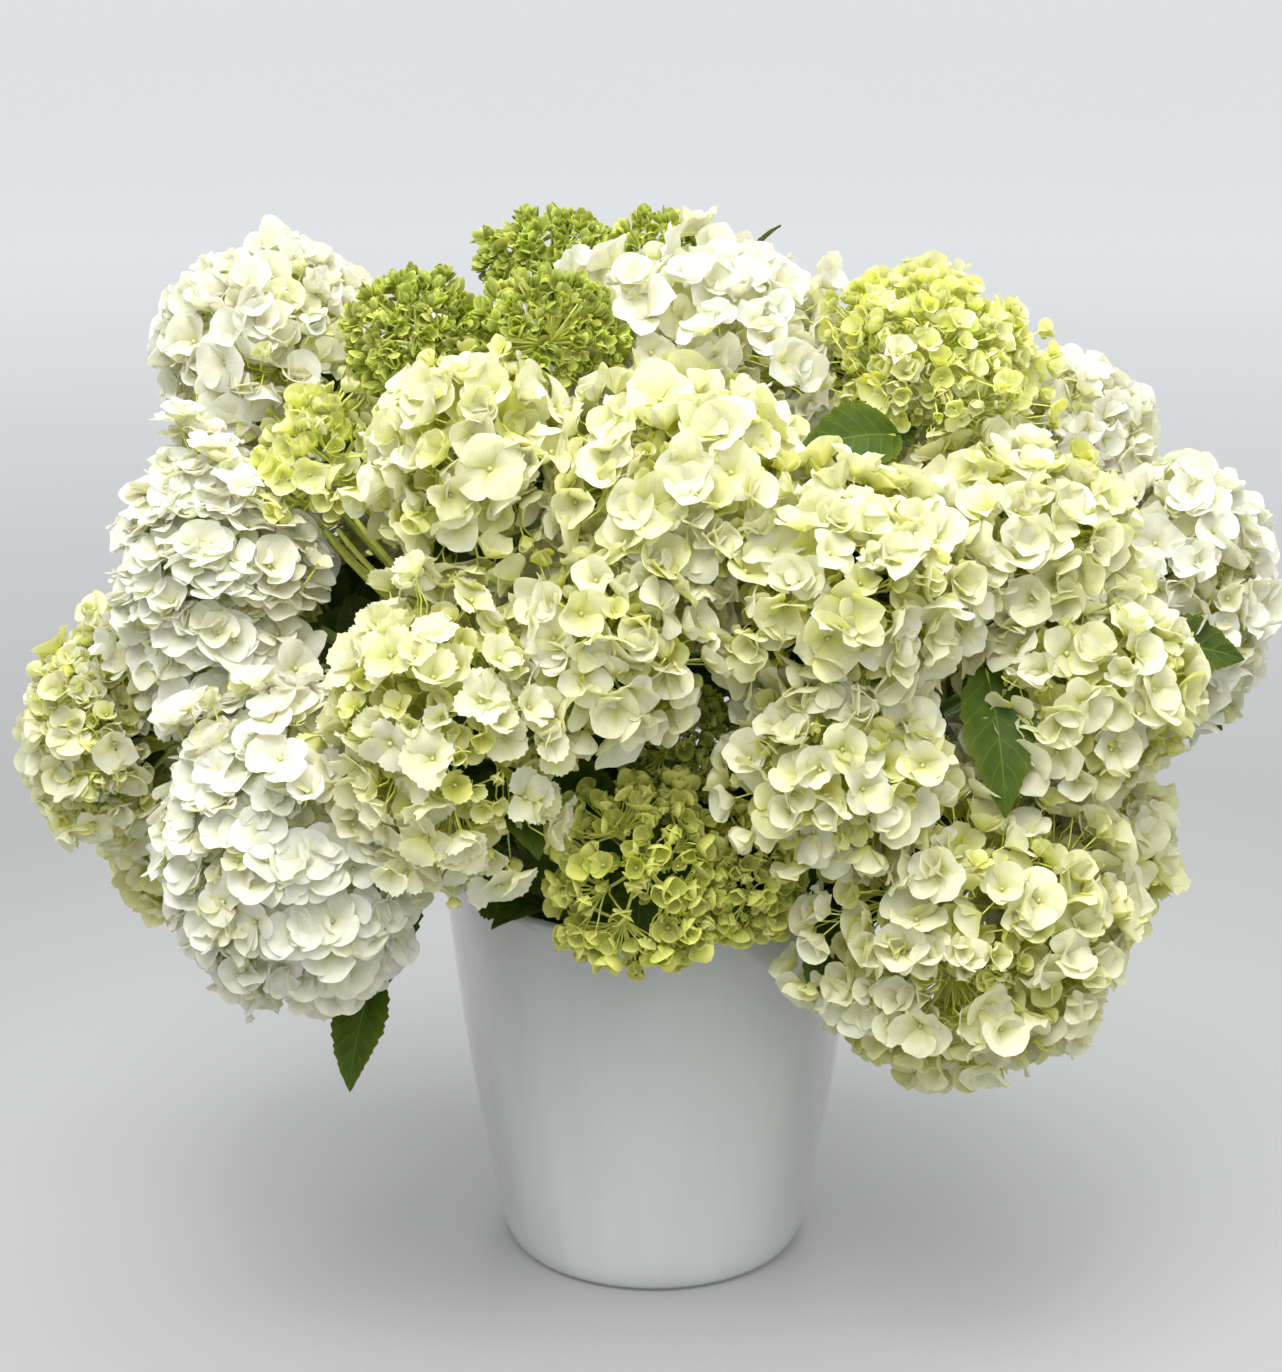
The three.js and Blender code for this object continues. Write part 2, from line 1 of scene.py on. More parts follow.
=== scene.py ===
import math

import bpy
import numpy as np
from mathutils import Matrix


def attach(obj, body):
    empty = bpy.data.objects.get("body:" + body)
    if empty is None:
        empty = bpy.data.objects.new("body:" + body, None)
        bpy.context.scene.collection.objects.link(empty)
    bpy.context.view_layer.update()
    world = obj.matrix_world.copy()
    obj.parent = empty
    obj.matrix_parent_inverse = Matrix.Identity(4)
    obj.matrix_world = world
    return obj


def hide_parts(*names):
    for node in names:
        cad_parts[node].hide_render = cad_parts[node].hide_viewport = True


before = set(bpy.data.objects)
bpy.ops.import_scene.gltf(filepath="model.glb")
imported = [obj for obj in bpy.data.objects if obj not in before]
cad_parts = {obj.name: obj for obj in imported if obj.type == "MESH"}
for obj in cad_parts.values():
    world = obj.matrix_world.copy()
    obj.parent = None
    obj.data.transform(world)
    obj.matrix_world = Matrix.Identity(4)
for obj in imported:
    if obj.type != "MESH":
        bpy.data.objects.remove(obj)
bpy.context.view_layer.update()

# Hydrangeas in a vase: the looks. Cream, white and lime-green heads with every floret's sepals as thin
# closed blades, branching pedicels, closed buds, toothed leaves, and a white glazed vase.
# Sizes are in millimetres, as in the CAD, up to the room; meshes are turned into metres when they are made.

scene = bpy.context.scene
MM = 0.001
UP = np.array([0.0, 0.0, 1.0])

# ---- Sizes shared with the CAD ----

VASE_HEIGHT = 248.0
FOOT_RADIUS = 93.5
RIM_RADIUS = 129.0
WALL = 6.5
FLOOR = 9.0
FLUTES = 8
FLUTE_DEPTH = 1.1
RIM_WAVE = 2.6
GAP = 0.3
WATER_LEVEL = 196.0
FOOT_LEVEL = FLOOR + GAP + 4
HUB = np.array([0.0, 0.0, 285.0])
CORE = 0.7
# The faces of the CAD's twenty-sided core stand this share as far out as its corners.
CORE_FACE = 0.7947

# Flower heads: floret kind, colour, and each lobe's middle x, y, z and half sizes x, y, z.
HEADS = {
    "centre_left": ("open", "cream", [[-101, -130, 521, 50, 64, 58]]),
    "centre": ("open", "cream", [[12, -124, 504, 74, 78, 60], [-30, -178, 432, 56, 54, 54]]),
    "front_left": ("toothed", "cream", [[-111, -184, 386, 64, 58, 80]]),
    "front_right": ("open", "cream", [[99, -150, 458, 70, 76, 64], [97, -178, 365, 56, 56, 54]]),
    "right": ("open", "cream", [[201, -86, 470, 66, 72, 54], [233, -112, 391, 70, 66, 58]]),
    "lower_right": ("open", "cream", [[172, -146, 262, 94, 80, 88], [258, -58, 274, 46, 56, 54]]),
    "lower_left": ("open", "white", [[-199, -146, 307, 76, 72, 90]]),
    "left": ("open", "white", [[-242, -66, 442, 63, 66, 82]]),
    "upper_left": ("open", "white", [[-226, 26, 556, 64, 74, 63]]),
    "top": ("open", "white", [[26, -6, 562, 82, 78, 60]]),
    "buds_left": ("bud", "lime", [[-132, -60, 579, 42, 40, 36], [-60, -70, 578, 48, 42, 40]]),
    "buds_back": ("bud", "lime", [[-62, 66, 606, 44, 38, 30], [4, 62, 612, 32, 30, 22]]),
    "lime_top": ("small", "lime", [[151, -10, 552, 68, 70, 58]]),
    "lime_left": ("small", "lime", [[-180, -60, 501, 50, 52, 50]]),
    "far_left": ("small", "lime", [[-322, -30, 342, 48, 56, 64]]),
    "behind_left": ("open", "cream", [[-282, 44, 252, 58, 64, 58]]),
    "behind_right": ("open", "white", [[248, 60, 496, 52, 58, 50]]),
    "far_right": ("open", "white", [[316, 10, 410, 52, 64, 80]]),
    "lime_front": ("cup", "lime", [[-9, -165, 299, 54, 46, 58]]),
    "lime_front_small": ("cup", "lime", [[50, -152, 294, 33, 34, 41]]),
    "lime_inner": ("cup", "lime", [[17, -100, 352, 38, 34, 34]]),
    "side_left": ("open", "white", [[-244, 104, 392, 70, 80, 78]]),
    "side_right": ("open", "cream", [[254, 104, 338, 70, 80, 78]]),
    "back_upper_left": ("open", "white", [[-138, 132, 486, 80, 78, 76]]),
    "back_upper": ("open", "cream", [[8, 140, 504, 82, 80, 76]]),
    "back_upper_right": ("open", "cream", [[150, 138, 468, 80, 80, 78]]),
    "back_lower_left": ("open", "cream", [[-144, 200, 318, 86, 74, 86]]),
    "back_lower": ("open", "white", [[5, 222, 362, 86, 72, 88]]),
    "back_lower_right": ("open", "white", [[152, 204, 300, 84, 74, 82]]),
}

# Leaves: stem, share of its length where the stalk starts, blade base, tip, width, arch, and
# whether the upper face looks to the front.
LEAVES = [
    ("lime_top", 0.8, [136, -88, 530], [76, -128, 528], 42, 8, True),
    ("right", 0.8, [182, -142, 412], [190, -188, 338], 44, 8, False),
    ("far_right", 0.75, [284, -60, 402], [342, -64, 393], 38, 7, True),
    ("lower_left", 0.7, [-160, -128, 226], [-174, -160, 164], 36, 6, False),
    ("lime_front", 0.6, [-52, -112, 262], [-92, -158, 262], 34, 6, False),
    ("left", 0.7, [-200, -88, 380], [-262, -128, 366], 36, 6, False),
    ("buds_back", 0.85, [48, 70, 590], [76, 64, 628], 24, 4, False),
    ("upper_left", 0.75, [-262, 30, 490], [-316, 4, 458], 34, 6, False),
    ("back_lower", 0.62, [60, 150, 262], [96, 236, 236], 50, 9, False),
    ("back_lower_left", 0.62, [-82, 150, 262], [-90, 238, 228], 50, 9, False),
    ("back_upper_left", 0.8, [-66, 110, 420], [-62, 210, 418], 52, 9, False),
    ("back_upper_right", 0.8, [88, 130, 400], [84, 222, 402], 50, 9, False),
]

# ---- Sizes and colours of the looks alone ----

STEM_RADIUS = 3.7
YOUNG_SHARE = 0.16
CREASE_PUSH = 13.0
SHOOT_LENGTH = 108.0
SEPAL_THICKNESS = 0.3
LEAF_THICKNESS = 0.7
SMALLEST_LEAF = 30.0
LEAF_TEETH = 14
SIDE_VEINS = 7
VEIN_SLANT = 1.5

# Colours, linear.
WHITE = np.array([0.95, 0.945, 0.86])
CREAM = np.array([0.95, 0.945, 0.77])
PALE_GREEN = np.array([0.80, 0.81, 0.12])
LIME = np.array([0.84, 0.87, 0.27])
DEEP_LIME = np.array([0.50, 0.54, 0.04])
STALK = np.array([0.60, 0.65, 0.09])
BEAD = np.array([0.56, 0.54, 0.20])
STEM_GREEN = np.array([0.17, 0.24, 0.03])
LEAF_GREEN = np.array([0.030, 0.057, 0.002])


# ---- Small tools ----

def new_object(name, data):
    obj = bpy.data.objects.new(name, data)
    scene.collection.objects.link(obj)
    return obj


def unit(v):
    v = np.asarray(v, float)
    return v / np.maximum(np.linalg.norm(v, axis=-1, keepdims=True), 1e-9)


def smooth(x):
    x = np.clip(x, 0, 1)
    return x * x * (3 - 2 * x)


class Mesh:
    """Gathers points, four-sided faces and a colour per point, and makes one object of them."""

    def __init__(self):
        self.points, self.faces, self.colours, self.along, self.rims, self.slots = [], [], [], [], [], []
        self.count = 0

    def add(self, points, faces, colours, along=None, rim=None, slot=0):
        points = points.reshape(-1, 3)
        faces = faces.reshape(-1, 4)
        n = len(points)
        self.points.append(points)
        self.faces.append(faces + self.count)
        self.colours.append(np.broadcast_to(colours, (n, 3)))
        self.along.append(np.zeros((n, 2)) if along is None else along)
        self.rims.append(np.zeros(n, bool) if rim is None else rim)
        self.slots.append(np.full(len(faces), slot))
        self.count += n

    def make(self, name, materials):
        points = np.concatenate(self.points) * MM
        faces = np.concatenate(self.faces)
        me = bpy.data.meshes.new(name)
        me.vertices.add(len(points))
        me.vertices.foreach_set("co", points.astype(np.float32).ravel())
        me.loops.add(faces.size)
        me.loops.foreach_set("vertex_index", faces.astype(np.int32).ravel())
        me.polygons.add(len(faces))
        me.polygons.foreach_set("loop_start", np.arange(0, faces.size, 4, dtype=np.int32))
        me.polygons.foreach_set("use_smooth", np.ones(len(faces), bool))
        me.polygons.foreach_set("material_index", np.concatenate(self.slots).astype(np.int32))
        me.update(calc_edges=True)
        rim = np.concatenate(self.rims)
        if rim.any():
            ends = np.zeros(len(me.edges) * 2, np.int32)
            me.edges.foreach_get("vertices", ends)
            ends = ends.reshape(-1, 2)
            sharp = me.attributes.new("sharp_edge", "BOOLEAN", "EDGE")
            sharp.data.foreach_set("value", rim[ends[:, 0]] & rim[ends[:, 1]])
        colours = np.concatenate(self.colours)
        rgba = np.concatenate([colours, np.ones((len(colours), 1))], 1)
        layer = me.attributes.new("tint", "FLOAT_COLOR", "POINT")
        layer.data.foreach_set("color", rgba.astype(np.float32).ravel())
        for key, values in zip(("along", "across"), np.concatenate(self.along).T):
            layer = me.attributes.new(key, "FLOAT", "POINT")
            layer.data.foreach_set("value", values.astype(np.float32))
        for material in materials:
            me.materials.append(material)
        return new_object(name, me)


def grid_faces(rows, columns):
    """Four-sided faces of a grid of points, numbered row by row."""
    i, j = np.meshgrid(np.arange(rows - 1), np.arange(columns - 1), indexing="ij")
    a = (i * columns + j).ravel()
    return np.stack([a, a + 1, a + columns + 1, a + columns], 1)


def turned_faces(turns, columns):
    """Four-sided faces of a turned net, whose last row of points meets its first."""
    return grid_faces(turns + 1, columns) % (turns * columns)


def ring_faces(rings, sides):
    """Four-sided faces between rings of points that follow one another."""
    faces = []
    for first in range(0, (rings - 1) * sides, sides):
        for k in range(sides):
            n = (k + 1) % sides
            faces.append([first + k, first + n, first + sides + n, first + sides + k])
    return faces


def blade(rows, columns):
    """A thin closed blade: an upper net of points and a lower one that shares its rim.

    Gives the faces, the upper point that each point repeats or lies under, and which points are on the rim.
    """
    upper = np.arange(rows * columns).reshape(rows, columns)
    inner = upper[1:-1, 1:-1]
    lower = upper.copy()
    lower[1:-1, 1:-1] = rows * columns + np.arange(inner.size).reshape(inner.shape)
    net = grid_faces(rows, columns)
    rim = np.ones((rows, columns), bool)
    rim[1:-1, 1:-1] = False
    faces = np.concatenate([net, lower.ravel()[net][:, ::-1]])
    source = np.concatenate([upper.ravel(), inner.ravel()])
    return faces, source, np.concatenate([rim.ravel(), np.zeros(inner.size, bool)])


def lengths_along(path):
    """How far each point of a path is from its start, along the path."""
    return np.concatenate([[0], np.cumsum(np.linalg.norm(np.diff(path, axis=0), axis=1))])


def point_at(path, share):
    """The point at a share of a path's length."""
    lengths = lengths_along(path)
    return np.array([np.interp(share * lengths[-1], lengths, path[:, i]) for i in range(3)])


def bezier(a, b, c, d, count):
    """Evenly shared points on cubic curves; a to d have any leading shape."""
    t = np.linspace(0, 1, count)[:, None]
    a, b, c, d = (np.asarray(p, float)[..., None, :] for p in (a, b, c, d))
    return a * (1 - t) ** 3 + 3 * b * t * (1 - t) ** 2 + 3 * c * t * t * (1 - t) + d * t ** 3


def add_tubes(mesh, lines, radii, sides, colours, slot=1):
    """Round rods along lines (count, steps, 3), closed to a point at both ends."""
    lines = np.concatenate([lines[:, :1], lines, lines[:, -1:]], 1)
    radii = np.broadcast_to(radii, lines[:, 1:-1].shape[:2])
    radii = np.concatenate([radii[:, :1] * 0.02, radii, radii[:, -1:] * 0.02], 1)
    count, steps, _ = lines.shape
    tangent = np.gradient(lines, axis=1)
    tangent[:, 0], tangent[:, -1] = tangent[:, 1], tangent[:, -2]
    tangent = unit(tangent)
    whole = unit(lines[:, -1] - lines[:, 0])
    helper = np.where(np.abs(whole[:, 2:]) < 0.8, UP, np.array([1.0, 0, 0]))
    side = unit(np.cross(np.cross(whole, helper)[:, None, :], tangent))
    up = np.cross(tangent, side)
    turn = np.arange(sides) * 2 * np.pi / sides
    ring = side[:, :, None] * np.cos(turn)[:, None] + up[:, :, None] * np.sin(turn)[:, None]
    points = lines[:, :, None] + ring * radii[:, :, None, None]
    faces = np.array(ring_faces(steps, sides))[None] + (np.arange(count) * steps * sides)[:, None, None]
    if np.ndim(colours) == 2:
        colours = np.repeat(colours, steps * sides, 0)
    mesh.add(points, faces, colours, slot=slot)


# ---- Florets ----

def sepal_grid(p, rows, columns, toothed):
    """Points of many sepals in their floret's own frame: (outwards from its middle, across, up)."""
    count = len(p["length"])
    col = {k: a.reshape(count, 1, 1) for k, a in p.items() if k not in ("colour", "turn")}
    # A square net drawn onto a round disc, so that the outline has no corners.
    s = np.linspace(-1, 1, rows)[:, None]
    t = np.linspace(-1, 1, columns)[None, :]
    disc_x = s * np.sqrt(1 - t * t / 2)
    disc_y = t * np.sqrt(1 - s * s / 2)
    if toothed:
        tooth = np.ones((rows, columns))
        tooth[rows // 3::2, [0, -1]] = 0.88
        tooth[-1, 1::2] = 0.88
        disc_x, disc_y = disc_x * tooth, disc_y * tooth
    u = (disc_x + 1) / 2
    fine = np.linspace(0, 1, 33)[None, :]
    bend = p["rise"][:, None] + (p["level"] - p["rise"])[:, None] * fine ** p["quick"][:, None]
    step = p["length"][:, None] / 32
    out, high = (np.concatenate([np.zeros((count, 1)), np.cumsum(way(bend[:, :-1]) * step, 1)], 1)
                 for way in (np.cos, np.sin))
    low = np.clip((u * 32).astype(int), 0, 31)
    part = u * 32 - low
    bend, out, high = (a[:, low] * (1 - part) + a[:, low + 1] * part for a in (bend, out, high))
    narrow = 0.30 + 0.70 * smooth(u / 0.55)
    width = col["width"] * col["length"] * narrow
    wrap = np.where(np.abs(col["wrap"]) < 0.05, 0.05, col["wrap"]) * np.minimum(1, 0.25 + u)
    aside = width * np.sin(disc_y * wrap) / wrap
    lift = width * (1 - np.cos(disc_y * wrap)) / wrap
    edge = disc_x ** 2 + disc_y ** 2
    around = np.arctan2(disc_y, disc_x)
    ripple = np.sin(col["waves"] * around + col["phase"]) * edge * smooth(u / 0.5)
    ripple = ripple + 0.6 * np.sin(4 * u + 2 * col["phase"]) * disc_y
    lift = lift + col["ripple"] * col["length"] * ripple + col["twist"] * aside * smooth(u)
    shift = col["point"] * np.maximum(disc_x, 0) ** 5 * (1 - np.abs(disc_y)) ** 3 * col["length"]
    x = col["start"] + out + np.cos(bend) * shift - np.sin(bend) * lift
    z = high + np.sin(bend) * shift + np.cos(bend) * lift
    return np.stack([x, np.broadcast_to(aside, x.shape), z], -1)


def add_sepals(mesh, p, middles, frames, walls, rows, columns, toothed):
    """Sepals as thin closed blades: two faces that meet at the edge, thickest in the middle."""
    local = sepal_grid(p, rows, columns, toothed)
    count = len(local)
    c, s = np.cos(p["turn"])[:, None, None], np.sin(p["turn"])[:, None, None]
    away, aside, high = np.moveaxis(local, -1, 0)
    turned = np.stack([away * c - aside * s, away * s + aside * c, high], -1)
    top = np.einsum("nij,nrcj->nrci", frames, turned) + middles[:, None, None, :]
    for normal, offset in walls:
        over = np.maximum(0, top @ normal - offset)
        top = top - over[..., None] * normal * 0.25
    du = np.gradient(top, axis=1)
    dv = np.gradient(top, axis=2)
    face = unit(np.cross(du, dv))
    under = (top - face * SEPAL_THICKNESS)[:, 1:-1, 1:-1].reshape(count, -1, 3)
    points = np.concatenate([top.reshape(count, -1, 3), under], 1)
    each = points.shape[1]
    one, source, rim = blade(rows, columns)
    faces = one[None] + (np.arange(count) * each)[:, None, None]
    u = np.repeat(np.linspace(0, 1, rows), columns)[source]
    v = np.tile(np.linspace(-1, 1, columns), rows)[source]
    base, tip = p["colour"][:, :3][:, None], p["colour"][:, 3:6][:, None]
    share = smooth((u - 0.02) / p["fade"][:, None])[..., None]
    colour = base * (1 - share) + tip * share
    # Painted light: sepals grow lighter towards their rims and tips, in place of light shining through the
    # thin edges.
    edge = np.maximum(np.abs(v), u)[None, :, None] ** 6
    colour = colour * (1 + p["edge"][:, None, None] * edge)
    along = np.stack([np.broadcast_to(u, (count, each)), np.broadcast_to(v, (count, each))], -1)
    colour = np.clip(colour, 0, 0.95).reshape(-1, 3)
    mesh.add(points, faces, colour, along.reshape(-1, 2), np.tile(rim, count))


def add_beads(mesh, middles, frames, radius, colours):
    """The small closed eye in the middle of each floret, a low faceted ball."""
    rings = [(0.7, -0.5), (0.95, 0.3), (0.15, 0.95)]
    turn = np.arange(6) * np.pi / 3
    ball = np.array([[r * math.cos(a), r * math.sin(a), z] for r, z in rings for a in turn])
    points = np.einsum("nij,kj->nki", frames, ball) * radius[:, None, None] + middles[:, None]
    one = ring_faces(3, 6)
    for first in (0, 12):
        one += [[first, first + 1, first + 2, first + 3], [first, first + 3, first + 4, first + 5]]
    one[-4:-2] = [face[::-1] for face in one[-4:-2]]
    faces = np.array(one)[None] + (np.arange(len(middles)) * 18)[:, None, None]
    mesh.add(points, faces, np.repeat(colours, 18, 0), slot=1)


def frames_of(out, spin):
    """A turned frame for each outward direction: columns side, up, out."""
    helper = np.where(np.abs(out[:, 2:]) < 0.9, UP, np.array([1.0, 0, 0]))
    side = unit(np.cross(helper, out))
    up = np.cross(out, side)
    c, s = np.cos(spin)[:, None], np.sin(spin)[:, None]
    return np.stack([side * c + up * s, up * c - side * s, out], -1)


# How each kind of floret is built. length: a sepal's; rise and level: its slope at its root and at its tip,
# in degrees over the floret's plane; cup: how much further the least open florets turn up; wrap: how much a
# sepal folds along its length; cover: sepal area over head area; depth: how far out the florets sit.
# rise, level, wrap and ripple are a mean and a spread.
KINDS = {
    "open": dict(
        length=17.0, width=0.61, rise=(56, 12), level=(8, 20), quick=0.6, wrap=(0.55, 0.38), cup=52,
        ripple=(0.03, 0.06), point=0.04, cover=4.0, depth=(0.90, 1.04), tilt=0.50, rows=6, columns=5),
    "dense": dict(
        length=15.5, width=0.63, rise=(62, 12), level=(22, 20), quick=0.6, wrap=(0.45, 0.42), cup=40,
        ripple=(0.03, 0.06), point=0.03, cover=4.6, depth=(0.88, 1.03), tilt=0.52, rows=6, columns=5),
    "shingled": dict(
        length=15.0, width=0.66, rise=(38, 12), level=(2, 16), quick=0.6, wrap=(0.40, 0.42), cup=26,
        ripple=(0.03, 0.055), point=0.025, cover=6.2, depth=(0.92, 1.03), tilt=0.30, rows=6, columns=5),
    "toothed": dict(
        length=15.5, width=0.61, rise=(54, 12), level=(10, 18), quick=0.55, wrap=(0.5, 0.32), cup=40,
        ripple=(0.015, 0.035), point=0.02, cover=3.6, depth=(0.90, 1.04), tilt=0.38, rows=9, columns=8),
    "small": dict(
        length=8.6, width=0.60, rise=(40, 12), level=(66, 24), quick=0.8, wrap=(0.85, 0.25), cup=20,
        ripple=(0.0, 0.03), point=0.05, cover=3.8, depth=(0.84, 1.03), tilt=0.40, rows=5, columns=5),
    "cup": dict(
        length=7.2, width=0.60, rise=(28, 10), level=(104, 22), quick=0.8, wrap=(0.95, 0.2), cup=20,
        ripple=(0.0, 0.03), point=0.0, cover=2.6, depth=(0.78, 1.02), tilt=0.32, rows=5, columns=5),
    "bud": dict(
        length=10.5, width=0.36, rise=(50, 6), level=(106, 9), quick=0.9, wrap=(0.95, 0.1), cup=0,
        ripple=(0.0, 0.01), point=0.10, rows=5, columns=4),
}

# Where a head differs from its kind. lift: how far its florets turn up; bare: how near the stem they stop;
# clump: gaps between its clumps; mixed: share of full-size cream florets among small ones; size: of florets;
# patches: round places of young florets; branch: thickness of its stalks; pale: cream in its lime; dark: its
# tone, which for lime_inner is also a painted shade, as it sits deep in the bunch; swell: how far it grows
# towards a neighbour; shoots: how many side branches it has on the stem.
STYLES = {
    "left": dict(kind="shingled", lift=1.2),
    "lower_left": dict(kind="shingled", lift=0.7, cover=5.3),
    "upper_left": dict(kind="dense", lift=0.15, size=1.1),
    "front_left": dict(patches=(([-92, -240, 378], 24), ([-84, -236, 350], 16))),
    "lower_right": dict(kind="dense", lift=0.15, size=1.08, cover=4.0),
    "lime_left": dict(bare=0.12, size=1.35, clump=0.6, branch=1.7, pale=0.4, shoots=11),
    "lime_top": dict(clump=0.3, size=1.08, mixed=0.02, pale=0.45, cover=3.6),
    "far_left": dict(clump=0.2, size=1.05, mixed=0.22, pale=0.8, cover=4.0),
    "lime_front": dict(
        clump=0.7, bare=0.35, cover=3.9, size=1.5, pale=0.12, swell=1.0, dark=[0.85, 0.86, 0.6]),
    "lime_front_small": dict(
        clump=0.3, bare=0.35, cover=3.9, size=1.35, pale=0.12, swell=1.0, dark=[0.85, 0.86, 0.6]),
    # Painted shade: lime_inner is coloured darker because it sits deep among the heads, in their shadow.
    "lime_inner": dict(clump=0.4, size=1.1, cover=3.6, dark=[0.75, 0.78, 0.6]),
    "buds_left": dict(dark=[0.60, 0.64, 0.38]),
    "buds_back": dict(dark=[0.60, 0.64, 0.38]),
}


def golden(count, outwards, turn):
    """Evenly spread directions, starting at the side that faces out."""
    i = np.arange(count)
    z = 1 - (2 * i + 1) / count
    r = np.sqrt(1 - z * z)
    a = turn + i * math.pi * (3 - math.sqrt(5))
    facing = frames_of(np.array([outwards]), np.zeros(1))[0]
    return np.stack([r * np.cos(a), r * np.sin(a), z], 1) @ facing.T


def area_of(half):
    p = 1.6
    a, b, c = half
    return 4 * math.pi * (((a * b) ** p + (a * c) ** p + (b * c) ** p) / 3) ** (1 / p)


class Lobe:
    def __init__(self, head, numbers):
        self.head = head
        self.middle = np.array(numbers[:3], float)
        self.half = np.array(numbers[3:], float)
        self.walls = []


lobes = {name: [Lobe(name, numbers) for numbers in row[2]] for name, row in HEADS.items()}
every_lobe = [lobe for row in lobes.values() for lobe in row]

# Between two neighbouring heads lies a flat wall that neither grows through.
for a in every_lobe:
    for b in every_lobe:
        if a.head == b.head:
            continue
        gap = b.middle - a.middle
        apart = np.linalg.norm(gap)
        gap = gap / apart
        mine = 1 / np.linalg.norm(gap / a.half)
        theirs = 1 / np.linalg.norm(gap / b.half)
        if apart - mine - theirs > 25:
            continue
        a.walls.append((gap, gap @ a.middle + mine + (apart - mine - theirs) / 2 - 0.25))


def kept_in(lobe, root, points):
    """Points drawn back towards their roots until they are inside the head's walls."""
    share = np.ones(len(points))
    for normal, offset in lobe.walls:
        outwards = (points - root) @ normal
        room = offset - root @ normal
        fits = np.maximum(0, room / np.maximum(outwards, 1e-6))
        share = np.where(outwards > room, np.minimum(share, fits), share)
    return root + (points - root) * share[:, None], share


# ---- Stems ----

def stem_line(name):
    """The CAD stem's own line: straight up through the water, then a curve to its head."""
    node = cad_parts["stem_" + name]
    co = np.array([v.co for v in node.data.vertices]) / MM
    low = co[co[:, 2] < co[:, 2].min() + 2.5]
    foot = np.array([low[:, 0].mean(), low[:, 1].mean(), FOOT_LEVEL])
    main = lobes[name][0]
    # The stem of a low head climbs over the rim and comes down to it.
    climb = 1.4 * max(0, 300 - main.middle[2])
    inwards = unit(HUB + [0, 0, climb] - main.middle)
    seat = main.middle + CORE * CORE_FACE * main.half * inwards
    normal = unit(inwards / main.half)
    end = seat + normal * GAP
    run = np.linalg.norm(end - [foot[0], foot[1], HUB[2]])
    surface = np.array([foot[0] * 1.15, foot[1] * 1.15, WATER_LEVEL + 4])
    low = surface + unit(surface - foot) * 0.3 * run
    high = end + normal * 0.45 * run
    path = bezier(surface, low, high, end, 25)
    return foot, surface, path, end, normal, inwards


stem_lines = {name: stem_line(name) for name in HEADS}


# ---- Materials ----

class Paint:
    """A node material being made, with short ways to add the nodes that the materials share."""

    def __init__(self, name):
        self.material = bpy.data.materials.new(name)
        self.material.use_nodes = True
        self.material.node_tree.nodes.clear()
        self.place = self.node("TexCoord").outputs["Object"]

    def node(self, kind, inputs=None, **settings):
        """A node with its settings; each input gets a value or a link from another node."""
        node = self.material.node_tree.nodes.new("ShaderNode" + kind)
        for key, value in settings.items():
            setattr(node, key, value)
        for key, value in (inputs or {}).items():
            if isinstance(value, bpy.types.NodeSocket):
                self.material.node_tree.links.new(value, node.inputs[key])
            else:
                node.inputs[key].default_value = value
        return node

    def attribute(self, name, output="Fac"):
        return self.node("Attribute", attribute_name=name).outputs[output]

    def math(self, operation, first, second=0.0):
        return self.node("Math", {0: first, 1: second}, operation=operation).outputs[0]

    def ramp(self, value, start, end, low, high, how="LINEAR"):
        """Goes from low to high while the value goes from start to end."""
        inputs = {"Value": value, "From Min": start, "From Max": end, "To Min": low, "To Max": high}
        return self.node("MapRange", inputs, interpolation_type=how).outputs["Result"]

    def noise(self, scale, detail=2.0, vector=None):
        inputs = {"Vector": self.place if vector is None else vector, "Scale": scale, "Detail": detail}
        return self.node("TexNoise", inputs).outputs["Fac"]

    def scaled(self, colour, share):
        return self.node("VectorMath", {0: colour, "Scale": share}, operation="SCALE").outputs["Vector"]

    def tinted(self, share):
        """The mesh's own colour at each point, made darker or lighter."""
        return self.scaled(self.attribute("tint", "Color"), share)

    def height(self):
        return self.node("SeparateXYZ", {"Vector": self.place}).outputs["Z"]

    def bump(self, height, strength, distance, under=None):
        inputs = {"Height": height, "Strength": strength, "Distance": distance}
        if under is not None:
            inputs["Normal"] = under
        return self.node("Bump", inputs).outputs["Normal"]

    def finish(self, body, glow=None, through=0.0):
        """The material of a Principled body; with a glow, part of the light goes through it."""
        surface = self.node("BsdfPrincipled", body).outputs[0]
        if glow is not None:
            thin = self.node("BsdfTranslucent", {"Color": glow}).outputs[0]
            surface = self.node("MixShader", {"Fac": through, 1: surface, 2: thin}).outputs[0]
        self.node("OutputMaterial", {"Surface": surface})
        return self.material


def petal_material(name, through, rough):
    """Thin living tissue: soft and pale, faint veins along each sepal, and light that glows through."""
    paint = Paint(name)
    wave = paint.math("SINE", paint.math("MULTIPLY", paint.attribute("across"), 31))
    vein = paint.ramp(wave, 0.55, 1.0, 1.0, 0.965)
    cloud = paint.noise(160, 3)
    shade = paint.math("MULTIPLY", vein, paint.ramp(cloud, 0.3, 0.7, 0.94, 1.03))
    colour = paint.tinted(shade)
    rich = paint.node("VectorMath", {0: colour, 1: colour}, operation="MULTIPLY").outputs["Vector"]
    body = {"Base Color": colour, "Roughness": rough, "Specular IOR Level": 0.12,
            "Normal": paint.bump(cloud, 0.18, 0.0006)}
    return paint.finish(body, rich, through)


